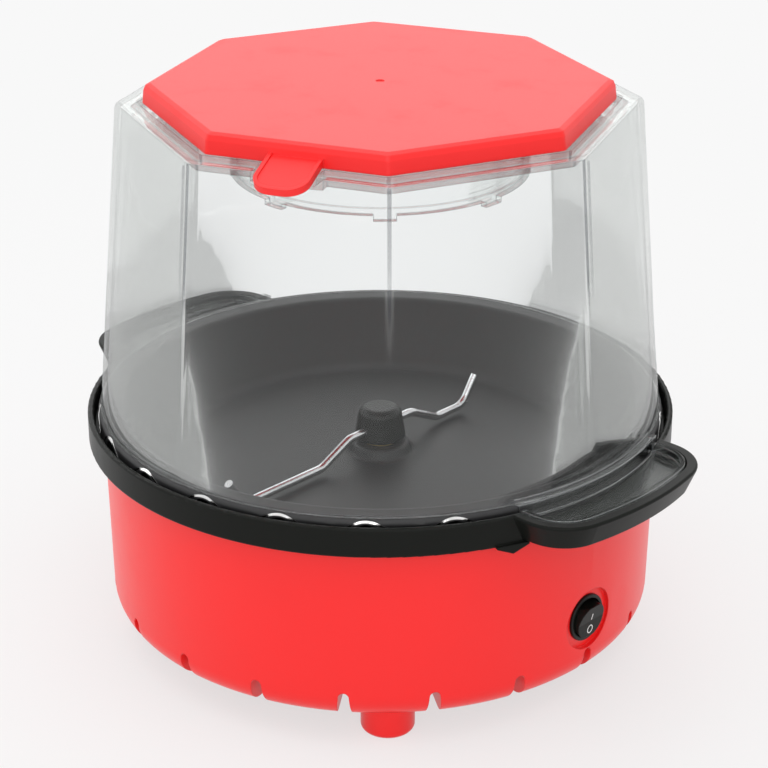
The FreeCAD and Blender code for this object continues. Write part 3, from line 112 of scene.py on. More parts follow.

# Clear plastic: shares of its opacity, and the tones of its gloss; its dark tone, corner lines and the
# tray's gloss cut are painted shade, its edge lines painted shade and highlight
PLASTIC_IOR = 1.49
GLOSS_SHARE = 0.60
# Painted shade: share of the gloss cut from the tray's flat faces
TRAY_GLOSS_CUT = 0.85
SMEAR_SHARE = 0.010
EDGE_SHARE = 0.42
CORNER_FLANK_SHARE = 0.10
CORNER_CORE_SHARE = 0.26
CORNER_DARKNESS = 0.85
OPACITY_LIMIT = 0.72
BRIGHT_GLOSS = (0.94, 0.95, 0.94)
PAINTED_SHADE_GLOSS = (0.16, 0.17, 0.19)
# Share of the cover's height where a corner's painted dark line starts to show, and where it shows in
# full
CORNER_START, CORNER_FULL = 0.45, 0.95

# Fineness of the meshes that are made here
SCALLOP_STEPS = 24
SIGN_STEPS = 40
SCREW_STEPS = 32
FLOOR_STEPS = 96

# Studio, in metres; the sensor in millimetres
CAMERA_PLACE = (0.6612, -0.7039, 0.5442)
CAMERA_LOOK = (-0.6265, 0.6669, -0.4035)
CAMERA_SHIFT = (0.0051, -0.0012)
SENSOR_WIDTH = 36.0
CLIP_START, CLIP_END = 0.05, 30.0
FLOOR_RADIUS = 6.0
FLOOR_TONES = ((0.755, 0.755, 0.755), (0.765, 0.765, 0.765))
SHADE_START, SHADE_END = 0.22, 0.95
LIGHT_AIM = (0.0, 0.0, 0.12)


class FinishColours(bpy.types.PropertyGroup):
    """Colours of the visible finishes"""

    red: FloatVectorProperty(
        name="Red plastic", description="Colour of the drum and the lid",
        subtype="COLOR", size=3, min=0, max=1, default=(0.90, 0.008, 0.008))
    black: FloatVectorProperty(
        name="Black plastic", description="Colour of the ring, the switch and the knob",
        subtype="COLOR", size=3, min=0, max=1, default=(0.0075, 0.0082, 0.0070))
    clear: FloatVectorProperty(
        name="Clear plastic", description="Tint of the light that passes through the cover",
        subtype="COLOR", size=3, min=0, max=1, default=(0.986, 0.990, 0.990))
    coating: FloatVectorProperty(
        name="Pan coating", description="Colour of the pan's non-stick coating",
        subtype="COLOR", size=3, min=0, max=1, default=(0.016, 0.016, 0.017))
    bare: FloatVectorProperty(
        name="Bare metal", description="Colour of the pan's uncoated edges",
        subtype="COLOR", size=3, min=0, max=1, default=(0.80, 0.80, 0.79))
    steel: FloatVectorProperty(
        name="Zinc steel", description="Colour of straps and screws",
        subtype="COLOR", size=3, min=0, max=1, default=(0.60, 0.60, 0.61))
    print_white: FloatVectorProperty(
        name="Switch print", description="Colour of the on and off signs",
        subtype="COLOR", size=3, min=0, max=1, default=(0.80, 0.80, 0.79))


class FinishSizes(bpy.types.PropertyGroup):
    """Sizes of the details that are added to the frame"""

    screw_head_radius: FloatProperty(
        name="Screw head", description="Radius of a screw's round head",
        unit="LENGTH", default=0.0036, min=0.001)
    screw_head_height: FloatProperty(
        name="Screw head height", description="Height of a screw's head",
        unit="LENGTH", default=0.0026, min=0.0005)
    screw_shank_radius: FloatProperty(
        name="Screw shank", description="Radius of a screw's shank",
        unit="LENGTH", default=0.00195, min=0.0005)
    screw_length: FloatProperty(
        name="Screw length", description="Length of a screw under its head",
        unit="LENGTH", default=0.012, min=0.001)
    sign_height: FloatProperty(
        name="Switch sign", description="Height of the off sign",
        unit="LENGTH", default=0.0043, min=0.0005)
    sign_stroke: FloatProperty(
        name="Sign stroke", description="Line width of the on and off signs",
        unit="LENGTH", default=0.00045, min=0.0001)
    on_height: FloatProperty(
        name="On sign place", description="Height of the on sign over the rocker's middle",
        unit="LENGTH", default=0.0024)
    off_height: FloatProperty(
        name="Off sign place", description="Height of the off sign over the rocker's middle",
        unit="LENGTH", default=-0.0042)
    scallop_count: IntProperty(
        name="Scallops per side", description="Scallops along each open side of the pan's skirt",
        default=8, min=1)
    scallop_pitch: FloatProperty(
        name="Scallop pitch", description="Angle between neighbouring scallops",
        subtype="ANGLE", default=math.radians(16.25), min=0.01)
    scallop_radius: FloatProperty(
        name="Scallop radius", description="Radius of a scallop's arc",
        unit="LENGTH", default=0.0140, min=0.001)
    scallop_top: FloatProperty(
        name="Scallop top", description="Height of a scallop's top over the foot of the skirt",
        unit="LENGTH", default=0.0087, min=0.001)
    scallop_line: FloatProperty(
        name="Scallop edge", description="Width of a scallop's bare metal edge",
        unit="LENGTH", default=0.0009, min=0.0001)
    scallop_rise: FloatProperty(
        name="Scallop burr", description="Height of a scallop's bare edge over the skirt",
        unit="LENGTH", default=0.00015, min=0.00002)


class StudioValues(bpy.types.PropertyGroup):
    """Camera, light and floor"""

    lens: FloatProperty(
        name="Lens", description="Focal length of the camera", unit="CAMERA", default=106.77, min=1)
    backdrop: FloatProperty(
        name="Backdrop", description="Level of the floor and backdrop as the camera sees them",
        default=0.939, min=0, max=1)
    even_floor: FloatProperty(
        name="Even floor",
        description="Even share of the floor's look near the object; the rest takes shadow",
        subtype="FACTOR", default=0.70, min=0, max=1)
    key_power: FloatProperty(
        name="Overhead light", description="Power of the large light over the object",
        unit="POWER", default=14.0, min=0)
    side_power: FloatProperty(
        name="Side lights", description="Power of the tall lights at the sides",
        unit="POWER", default=4.2, min=0)
    surround: FloatProperty(
        name="Surround", description="Level of the even light from all round", default=0.86, min=0)


class Value:
    """A shader socket that takes part in Python expressions."""

    def __init__(self, tree, socket):
        self.tree = tree
        self.socket = socket

    def maths(self, operation, *others):
        inputs = dict(enumerate((self, *others)))
        return self.tree.node("ShaderNodeMath", {"operation": operation}, inputs)

    def __add__(self, other):
        return self.maths("ADD", other)

    __radd__ = __add__

    def __mul__(self, other):
        return self.maths("MULTIPLY", other)

    __rmul__ = __mul__

    def __sub__(self, other):
        return self.maths("SUBTRACT", other)

    def __rsub__(self, other):
        return self.tree.node("ShaderNodeMath", {"operation": "SUBTRACT"}, {0: other, 1: self})

    def __truediv__(self, other):
        return self.maths("DIVIDE", other)

    def __pow__(self, other):
        return self.maths("POWER", other)

    def __abs__(self):
        return self.maths("ABSOLUTE")

    def smaller(self, other):
        return self.maths("MINIMUM", other)

    def larger(self, other):
        return self.maths("MAXIMUM", other)

    def step(self, start, end):
        """Rises smoothly from 0 at start to 1 at end."""
        return self.tree.node(
            "ShaderNodeMapRange", {"interpolation_type": "SMOOTHSTEP"},
            {"Value": self, "From Min": start, "From Max": end, "To Min": 0.0, "To Max": 1.0})


class Finish:
    """A material under construction, with one generic way to add a node."""

    def __init__(self, name):
        self.material = bpy.data.materials.new(name)
        self.material.use_nodes = True
        self.nodes = self.material.node_tree.nodes
        self.links = self.material.node_tree.links
        self.nodes.clear()
        self.output = self.nodes.new("ShaderNodeOutputMaterial")

    def node(self, kind, settings=None, inputs=None, output=0):
        made = self.nodes.new(kind)
        for key, value in (settings or {}).items():
            setattr(made, key, value)
        for key, value in (inputs or {}).items():
            socket = made.inputs[key]
            if isinstance(value, Value):
                self.links.new(value.socket, socket)
            elif hasattr(socket, "default_value"):
                socket.default_value = value
        return Value(self, made.outputs[output])

    def place(self):
        return self.node("ShaderNodeTexCoord", output="Object")

    def axes(self):
        """X, Y and Z of the surface point, in metres."""
        made = self.nodes.new("ShaderNodeSeparateXYZ")
        self.links.new(self.place().socket, made.inputs[0])
        return [Value(self, socket) for socket in made.outputs]

    def facing(self):
        """X, Y and Z of the direction that the surface faces."""
        made = self.nodes.new("ShaderNodeSeparateXYZ")
        self.links.new(self.node("ShaderNodeNewGeometry", output="True Normal").socket, made.inputs[0])
        return [Value(self, socket) for socket in made.outputs]

    def noise(self, scale, detail=2.0, roughness=0.5):
        return self.node(
            "ShaderNodeTexNoise", None,
            {"Vector": self.place(), "Scale": scale, "Detail": detail, "Roughness": roughness})

    def blend(self, factor, first, second):
        """Mixes two colours, each a colour or a socket."""
        made = self.nodes.new("ShaderNodeMix")
        made.data_type = "RGBA"
        for index, value in ((0, factor), (6, first), (7, second)):
            if isinstance(value, Value):
                self.links.new(value.socket, made.inputs[index])
            elif index == 0:
                made.inputs[index].default_value = value
            else:
                made.inputs[index].default_value = (*value[:3], 1.0)
        return Value(self, made.outputs[2])

    def rounded(self, radius):
        """Normal that rounds the edges of the shape off by a radius."""
        return self.node("ShaderNodeBevel", {"samples": BEVEL_SAMPLES}, {"Radius": radius})

    def edges(self, normal):
        """1 where a rounded normal leaves the flat one, that is along the edges."""
        flat = self.node("ShaderNodeNewGeometry", output="Normal")
        same = self.node(
            "ShaderNodeVectorMath", {"operation": "DOT_PRODUCT"}, {0: normal, 1: flat}, "Value")
        return (1.0 - same).step(*EDGE_BEND)

    def bump(self, height, strength, distance, normal=None):
        inputs = {"Height": height, "Strength": strength, "Distance": distance}
        if normal:
            inputs["Normal"] = normal
        return self.node("ShaderNodeBump", None, inputs)

    def surface(self, shader):
        self.links.new(shader.socket, self.output.inputs["Surface"])
        return self.material

    def seen_directly(self):
        """1 for rays that show the surface itself, straight on or in gloss and glass."""
        path = self.nodes.new("ShaderNodeLightPath")
        kinds = [Value(self, path.outputs[name]) for name in (
            "Is Camera Ray", "Is Glossy Ray", "Is Transmission Ray")]
        return kinds[0].larger(kinds[1]).larger(kinds[2])

    def principled(self, **values):
        inputs = {}
        for key, value in values.items():
            name = key.replace("_", " ").title().replace("Ior", "IOR")
            inputs[name] = value
        return self.node("ShaderNodeBsdfPrincipled", None, inputs)


def scaled(colour, factor):
    """A colour made lighter or darker."""
    return tuple(min(1.0, channel * factor) for channel in colour[:3])


def moulded_plastic(name, colour, roughness, grain_scale, grain_depth, specular=0.5):
    """Moulded plastic: faint flow mottling, fine grain, and handling marks in its gloss."""
    finish = Finish(name)
    flow = finish.noise(FLOW_SCALE, 3.0)
    grain = finish.noise(grain_scale, 2.0)
    rub = finish.noise(RUB_SCALE, 5.0, 0.62).step(0.50, 0.78)
    tone = finish.blend(flow.step(0.3, 0.7), scaled(colour, 0.975), scaled(colour, 1.02))
    shine = roughness + 0.05 * rub + 0.03 * (grain - 0.5)
    normal = finish.bump(grain, 0.25, grain_depth, finish.rounded(MOULDED_EDGE))
    shader = finish.principled(
        base_color=tone, roughness=shine, normal=normal, specular_ior_level=specular)
    return finish.surface(shader)


def brushed_metal(name, colour, roughness):
    """Drawn or brushed metal with fine streaks and slight tarnish."""
    finish = Finish(name)
    stretched = finish.node(
        "ShaderNodeMapping", None, {"Vector": finish.place(), "Scale": STREAK_STRETCH})
    lines = finish.node(
        "ShaderNodeTexNoise", None, {"Vector": stretched, "Scale": STREAK_SCALE, "Detail": 4.0})
    tarnish = finish.noise(TARNISH_SCALE, 4.0)
    tone = finish.blend(tarnish.step(0.35, 0.75), colour, scaled(colour, 0.82))
    shine = roughness + 0.16 * (lines - 0.5) + 0.08 * tarnish
    normal = finish.bump(lines, 0.12, 0.0002)
    shader = finish.principled(base_color=tone, metallic=1.0, roughness=shine, normal=normal)
    return finish.surface(shader)


def rubber_like(name, colour, roughness=0.7):
    """Matt rubber or silicone with a little dust."""
    finish = Finish(name)
    dust = finish.noise(DUST_SCALE, 4.0)
    tone = finish.blend(dust.step(0.4, 0.8), colour, scaled(colour, 1.35))
    normal = finish.bump(finish.noise(RUBBER_GRAIN_SCALE), 0.25, 0.0002)
    shader = finish.principled(base_color=tone, roughness=roughness + 0.1 * dust, normal=normal)
    return finish.surface(shader)


def dress(node, material):
    """Gives a frame node its finish."""
    mesh = NODES[node].data
    mesh.materials.clear()
    mesh.materials.append(material)


def new_piece(name, mesh, body, material):
    """Adds a finished mesh as a piece that rides on a body."""
    mesh.materials.clear()
    mesh.materials.append(material)
    piece = bpy.data.objects.new(name, mesh)
    bpy.context.scene.collection.objects.link(piece)
    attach(piece, body)
    return piece


class POPCORN_OT_red_mouldings(bpy.types.Operator):
    """Finish the red drum and the red lid"""

    bl_idname = "popcorn.red_mouldings"
    bl_label = "Red mouldings"

    def execute(self, context):
        colours = context.scene.popcorn_colours
        drum = moulded_plastic(
            "red_drum_plastic", colours.red, roughness=0.32, grain_scale=900.0, grain_depth=0.00010)
        lid = moulded_plastic(
            "red_lid_plastic", colours.red, roughness=0.40, grain_scale=1100.0, grain_depth=0.00008)
        dress("base_housing", drum)
        dress("lid", lid)
        return {"FINISHED"}


class POPCORN_OT_handle_ring(bpy.types.Operator):
    """Finish the black handle ring"""

    bl_idname = "popcorn.handle_ring"
    bl_label = "Handle ring"

    def execute(self, context):
        colours = context.scene.popcorn_colours
        black = moulded_plastic(
            "black_ring_plastic", colours.black,
            roughness=0.34, grain_scale=1300.0, grain_depth=0.00010, specular=0.10)
        dress("handle_ring", black)
        return {"FINISHED"}


def surface_tree(node):
    """Search tree of a node's surface, for casting rays at it."""
    mesh = NODES[node].data
    corners = [vert.co.copy() for vert in mesh.vertices]
    return BVHTree.FromPolygons(corners, [tuple(face.vertices) for face in mesh.polygons])


def scallop_mesh(sizes):
    """Bare edges of the scallops along the front and the back of the pan's skirt."""
    tree = surface_tree("heating_pan")
    outside = PAN_RADIUS + RAY_START
    arc_middle = PAN_SKIRT_FOOT + sizes.scallop_top - sizes.scallop_radius
    reach = math.acos((PAN_SKIRT_FOOT + sizes.scallop_line - arc_middle) / sizes.scallop_radius)
    turns = [reach * (2 * i / SCALLOP_STEPS - 1) for i in range(SCALLOP_STEPS + 1)]
    section = []
    for turn in turns:
        corners = []
        for radius in (sizes.scallop_radius, sizes.scallop_radius - sizes.scallop_line):
            height = arc_middle + radius * math.cos(turn)
            spot = tree.ray_cast(Vector((0, -outside, height)), Vector((0, 1, 0)))[0]
            corners += [(radius * math.sin(turn) / PAN_RADIUS, -spot.y + rise, height)
                        for rise in (sizes.scallop_rise, -sizes.scallop_rise)]
        section.append(corners)
    bm = bmesh.new()
    for side in (0.0, math.pi):
        for index in range(sizes.scallop_count):
            middle = side + (index - (sizes.scallop_count - 1) / 2) * sizes.scallop_pitch
            rows = [
                [bm.verts.new((away * math.sin(middle + angle), -away * math.cos(middle + angle), height))
                 for angle, away, height in corners]
                for corners in section]
            for first, second in zip(rows, rows[1:]):
                for i, j in ((0, 1), (1, 3), (3, 2), (2, 0)):
                    bm.faces.new((first[i], first[j], second[j], second[i]))
            for row in (rows[0], rows[-1]):
                bm.faces.new((row[0], row[1], row[3], row[2]))
    bmesh.ops.recalc_face_normals(bm, faces=bm.faces)
    mesh = bpy.data.meshes.new("pan_scallop_edges")
    bm.to_mesh(mesh)
    bm.free()
    return mesh


class POPCORN_OT_heating_pan(bpy.types.Operator):
    """Finish the coated pan and the bare edges of its scallops"""

    bl_idname = "popcorn.heating_pan"
    bl_label = "Heating pan"

    def execute(self, context):
        colours = context.scene.popcorn_colours
        sizes = context.scene.popcorn_sizes
        finish = Finish("pan_coating")
        x, y, _ = finish.axes()
        radius = (x * x + y * y) ** 0.5
        wear = finish.noise(WEAR_SCALE, 4.0)
        speckle = finish.noise(SPECKLE_SCALE, 2.0)
        on_floor = 1.0 - radius.step(PAN_FLOOR_RADIUS, PAN_FLOOR_RADIUS + PAN_FLOOR_BLEND)
        ring_wear = on_floor * wear.step(0.60, 0.78) * 0.35
        tone = finish.blend(ring_wear, colours.coating, scaled(colours.coating, 4.0))
        normal = finish.bump(speckle, 0.03, 0.00005)
        shader = finish.principled(base_color=tone, roughness=0.42 + 0.18 * wear, normal=normal)
        dress("heating_pan", finish.surface(shader))
        bare = brushed_metal("pan_bare_edge", colours.bare, 0.16)
        new_piece("pan_scallop_edges", scallop_mesh(sizes), "base", bare)
        return {"FINISHED"}


class POPCORN_OT_clear_cover(bpy.types.Operator):
    """Finish the clear cover"""

    bl_idname = "popcorn.clear_cover"
    bl_label = "Clear cover"

    def execute(self, context):
        colours = context.scene.popcorn_colours
        finish = Finish("clear_cover_plastic")
        x, y, z = finish.axes()
        aside, back, up = finish.facing()
        radius = (x * x + y * y) ** 0.5
        wall = 1.0 - abs(up).step(0.2, 0.5)
        # The wall's outer face, without the neck
        outer = wall * radius.step(NECK_LIMIT_RADIUS, NECK_LIMIT_RADIUS + NECK_BLEND)
        outer = outer * ((x * aside + y * back) / radius).step(0.0, 0.2)
        # Distance along the wall from the nearest corner; the painted dark corner lines fade towards the
        # round foot
        corner_angle = 2 * math.pi / COVER_CORNERS
        turn = x.maths("ARCTAN2", y) / corner_angle
        corner = abs(turn - turn.maths("ROUND")) * corner_angle * radius
        tall = COVER_HIGH.z - RING_HIGH.z
        fade = outer * z.step(RING_HIGH.z + CORNER_START * tall, RING_HIGH.z + CORNER_FULL * tall)
        # Painted shade: a narrow dark core and a wider flank along each corner of the wall
        core = fade * (1.0 - corner.step(*CORNER_CORE_WIDTH))
        flank = fade * (1.0 - corner.step(*CORNER_FLANK_WIDTH))
        soft = finish.rounded(COVER_EDGE)
        edge = finish.edges(soft)
        smear = finish.noise(SMEAR_SCALE, 4.0, 0.6).step(0.50, 0.82)
        fresnel = finish.node("ShaderNodeFresnel", None, {"IOR": PLASTIC_IOR})
        # Painted shade: the gloss of the tray's flat faces is cut back, so they show dark
        shelf = abs(up).step(0.6, 0.9) * (1.0 - z.step(TRAY_LOW, TRAY_HIGH))
        gloss = GLOSS_SHARE * fresnel * (1.0 - TRAY_GLOSS_CUT * shelf)
        # Extra opacity draws every edge as a line: painted shade on the upright walls, a painted
        # highlight of stronger reflection elsewhere
        opacity = gloss + SMEAR_SHARE * smear + EDGE_SHARE * edge
        opacity = (opacity + CORNER_FLANK_SHARE * flank + CORNER_CORE_SHARE * core).smaller(OPACITY_LIMIT)
        clear = finish.node("ShaderNodeBsdfTransparent", None, {"Color": (*colours.clear, 1.0)})
        ripple = finish.bump(finish.noise(RIPPLE_SCALE, 1.0), 0.05, 0.002, soft)
        # Painted shade: the gloss turns dark on the walls' edges, on the corner lines and at grazing
        # angles
        upright = (edge * wall).larger(CORNER_DARKNESS * core.step(0.0, 0.3))
        painted_grazing_shade = finish.node("ShaderNodeLayerWeight", None, {"Blend": 0.5}, "Facing").step(0.86, 0.98)
        tone = finish.blend(upright.larger(painted_grazing_shade), BRIGHT_GLOSS, PAINTED_SHADE_GLOSS)
        skin = finish.principled(
            base_color=tone, metallic=1.0, roughness=0.04 + 0.08 * smear + 0.10 * edge, normal=ripple)
        mixed = finish.node("ShaderNodeMixShader", None, {0: opacity, 1: clear, 2: skin})
        dress("clear_cover", finish.surface(mixed))
        return {"FINISHED"}


def sign_mesh(name, outline_loops, height):
    """Flat printed sign, drawn in the XY plane and raised a little."""
    mesh = bpy.data.meshes.new(name)
    bm = bmesh.new()
    for outer, inner in outline_loops:
        count = len(outer)
        rings = []
        for z in (0.0, height):
            rings.append([
                [bm.verts.new((px, py, z)) for px, py in loop] for loop in (outer, inner) if loop])
        low, high = rings
        for i in range(count):
            j = (i + 1) % count
            bm.faces.new((low[0][i], low[0][j], high[0][j], high[0][i]))
            if inner:
                bm.faces.new((low[1][j], low[1][i], high[1][i], high[1][j]))
                bm.faces.new((high[0][i], high[0][j], high[1][j], high[1][i]))
                bm.faces.new((low[0][j], low[0][i], low[1][i], low[1][j]))
        if not inner:
            bm.faces.new(high[0])
            bm.faces.new(list(reversed(low[0])))
    bmesh.ops.recalc_face_normals(bm, faces=bm.faces)
    bm.to_mesh(mesh)
    bm.free()
    return mesh


def ring_points(radius_x, radius_y):
    """Points of an ellipse."""
    turns = [2 * math.pi * i / SIGN_STEPS for i in range(SIGN_STEPS)]
    return [(radius_x * math.cos(turn), radius_y * math.sin(turn)) for turn in turns]


def rocker_spot(height):
    """Point and normal of the rocker's front at a height over its middle."""
    tree = surface_tree("switch_rocker")
    middle = box_middle("switch_rocker")
    start = Vector((ROCKER_HIGH.x + RAY_START, middle.y, middle.z + height))
    spot, normal, _, _ = tree.ray_cast(start, Vector((-1, 0, 0)))
    if spot is None:
        raise RuntimeError("the rocker has no front at this height")
    return spot, normal


class POPCORN_OT_switch(bpy.types.Operator):
    """Finish the rocker switch and print its on and off signs"""

    bl_idname = "popcorn.switch"
    bl_label = "Switch"

    def execute(self, context):
        colours = context.scene.popcorn_colours
        sizes = context.scene.popcorn_sizes
        # Node, finish and specular level
        pieces = (
            ("switch_housing", "switch_bezel_plastic", 0.2),
            ("switch_rocker", "rocker_plastic", 0.12),
        )
        for node, name, specular in pieces:
            dress(node, moulded_plastic(
                name, colours.black,
                roughness=0.30, grain_scale=1500.0, grain_depth=0.00006, specular=specular))
        finish = Finish("switch_print")
        worn = finish.noise(PRINT_SCALE, 3.0).step(0.35, 0.8)
        tone = finish.blend(worn, colours.print_white, scaled(colours.print_white, 0.86))
        printed = finish.surface(finish.principled(base_color=tone, roughness=0.5 + 0.1 * worn))
        dress("switch_terminals", brushed_metal("blade_brass", (0.66, 0.50, 0.24), 0.32))
        tall = sizes.sign_height / 2
        wide = SIGN_HALF_WIDTH * tall
        stroke = sizes.sign_stroke
        short = BAR_HALF_HEIGHT * tall
        bar = [(-stroke / 2, -short), (stroke / 2, -short), (stroke / 2, short), (-stroke / 2, short)]
        circle = (ring_points(wide, tall), ring_points(wide - stroke, tall - stroke))
        # Name, outlines and place of each sign
        plan = (
            ("switch_sign_on", [(bar, None)], sizes.on_height),
            ("switch_sign_off", [circle], sizes.off_height),
        )
        for name, loops, height in plan:
            mesh = sign_mesh(name, loops, SIGN_THICKNESS)
            centre, normal = rocker_spot(height)
            up = Vector((0, 0, 1))
            across = up.cross(normal).normalized()
            upright = normal.cross(across).normalized()
            turn = Matrix((across, upright, normal)).transposed().to_4x4()
            mesh.transform(Matrix.Translation(centre - normal * SIGN_SINK) @ turn)
            new_piece(name, mesh, "rocker", printed)
        return {"FINISHED"}


class POPCORN_OT_stirrer(bpy.types.Operator):
    """Finish the stirrer and its drive"""

    bl_idname = "popcorn.stirrer"
    bl_label = "Stirrer and drive"

    def execute(self, context):
        colours = context.scene.popcorn_colours
        dress("stirrer_hub", moulded_plastic(
            "knob_plastic", colours.black,
            roughness=0.42, grain_scale=700.0, grain_depth=0.00003, specular=0.3))
        dress("stirrer_rods", brushed_metal("stirrer_wire", (0.72, 0.72, 0.73), 0.20))
        dress("drive_shaft", brushed_metal("shaft_steel", (0.62, 0.62, 0.63), 0.24))
        dress("shaft_clip", brushed_metal("clip_spring_steel", (0.35, 0.35, 0.36), 0.35))
        dress("shaft_bush", brushed_metal("bush_brass", (0.70, 0.52, 0.24), 0.30))
        dress("motor_body", moulded_plastic(
            "motor_paint", (0.20, 0.21, 0.22), roughness=0.45, grain_scale=600.0, grain_depth=0.00015))
        return {"FINISHED"}


class POPCORN_OT_heater(bpy.types.Operator):
    """Finish the heater, its straps and the heat control"""

    bl_idname = "popcorn.heater"
    bl_label = "Heater and straps"

    def execute(self, context):
        steel = context.scene.popcorn_colours.steel
        strap = brushed_metal("strap_zinc", steel, 0.34)
        straps = ("pan_brackets", "element_clamps", "thermostat_clip", "fuse_clip", "shield_standoffs")
        for node in straps:
            dress(node, strap)
        dress("heat_shield", brushed_metal("shield_aluminium", (0.74, 0.74, 0.75), 0.30))
        dress("heating_element", brushed_metal("element_sheath", (0.16, 0.15, 0.14), 0.48))
        dress("thermostat", moulded_plastic(
            "thermostat_phenolic", (0.05, 0.042, 0.036),
            roughness=0.5, grain_scale=500.0, grain_depth=0.0002))
        dress("thermal_fuse", rubber_like("fuse_sleeve", (0.72, 0.70, 0.62)))
        return {"FINISHED"}


class POPCORN_OT_wiring(bpy.types.Operator):
    """Finish the leads, the block and the cord inlet"""

    bl_idname = "popcorn.wiring"
    bl_label = "Wiring"

    def execute(self, context):
        colours = context.scene.popcorn_colours
        dress("terminal_block", moulded_plastic(
            "block_nylon", (0.74, 0.72, 0.64), roughness=0.4, grain_scale=700.0, grain_depth=0.0002))
        dress("wiring_leads", rubber_like("lead_silicone", (0.62, 0.60, 0.53), 0.5))
        dress("cord_gland", rubber_like("gland_rubber", colours.black))
        return {"FINISHED"}


def screw_mesh(sizes):
    """One pan-head screw with a cross recess, head up, its seat at the origin."""
    mesh = bpy.data.meshes.new("screw_pattern")
    bm = bmesh.new()
    head, high = sizes.screw_head_radius, sizes.screw_head_height
    shank, length = sizes.screw_shank_radius, sizes.screw_length
    profile = [
        (0.0, -length), (shank * 0.7, -length), (shank, -length + shank * 0.5), (shank, 0.0), (head, 0.0),
        (head, high * 0.45), (head * 0.9, high * 0.75), (head * 0.66, high * 0.94), (head * 0.3, high)]
    verts = [bm.verts.new((radius, 0.0, z)) for radius, z in profile]
    edges = [bm.edges.new(pair) for pair in zip(verts, verts[1:])]
    bmesh.ops.spin(
        bm, geom=verts + edges, cent=(0, 0, 0), axis=(0, 0, 1), angle=2 * math.pi, steps=SCREW_STEPS)
    bmesh.ops.remove_doubles(bm, verts=bm.verts, dist=WELD_DISTANCE)
    rim = [edge for edge in bm.edges if edge.is_boundary]
    # The cross recess: the head's top is closed round a sunk four-armed well
    arm, half = head * 0.28, head * 0.09
    cross = [(arm, -half), (arm, half), (half, half), (half, arm), (-half, arm), (-half, half)]
    cross += [(-arm, half), (-arm, -half), (-half, -half), (-half, -arm), (half, -arm), (half, -half)]
    count = len(cross)
    top = [bm.verts.new((px, py, high)) for px, py in cross]
    floor = [bm.verts.new((px * 0.6, py * 0.6, high * 0.35)) for px, py in cross]
    ring = [bm.edges.new((top[i], top[(i + 1) % count])) for i in range(count)]
    bmesh.ops.triangle_fill(bm, edges=rim + ring, use_beauty=True)
    for i in range(count):
        j = (i + 1) % count
        bm.faces.new((top[i], top[j], floor[j], floor[i]))
    bm.faces.new(floor)
    bmesh.ops.recalc_face_normals(bm, faces=bm.faces)
    for face in bm.faces:
        face.smooth = len(face.verts) == 4 and face.normal.z < 0.95
    bm.to_mesh(mesh)
    bm.free()
    return mesh


def screw_tree(pattern, material):
    """Node tree: a copy of a screw on every point of a mesh, head up or head down."""
    tree = bpy.data.node_groups.new("screws_on_points", "GeometryNodeTree")
    face = tree.interface
    face.new_socket("Points", in_out="INPUT", socket_type="NodeSocketGeometry")
    face.new_socket("Geometry", in_out="OUTPUT", socket_type="NodeSocketGeometry")
    names = {}
    for name in ("Head Tilt", "Screw Scale"):
        names[name] = face.new_socket(name, in_out="INPUT", socket_type="NodeSocketFloat").identifier
    nodes, links = tree.nodes, tree.links
    given = nodes.new("NodeGroupInput")
    result = nodes.new("NodeGroupOutput")
    tilt = nodes.new("ShaderNodeCombineXYZ")
    info = nodes.new("GeometryNodeObjectInfo")
    info.inputs["Object"].default_value = pattern
    copies = nodes.new("GeometryNodeInstanceOnPoints")
    real = nodes.new("GeometryNodeRealizeInstances")
    paint = nodes.new("GeometryNodeSetMaterial")
    paint.inputs["Material"].default_value = material
    links.new(given.outputs["Points"], copies.inputs["Points"])
    links.new(given.outputs["Head Tilt"], tilt.inputs["X"])
    links.new(given.outputs["Screw Scale"], copies.inputs["Scale"])
    links.new(tilt.outputs["Vector"], copies.inputs["Rotation"])
    links.new(info.outputs["Geometry"], copies.inputs["Instance"])
    links.new(copies.outputs["Instances"], real.inputs["Geometry"])
    links.new(real.outputs["Geometry"], paint.inputs["Geometry"])
    links.new(paint.outputs["Geometry"], result.inputs["Geometry"])
    return tree, names


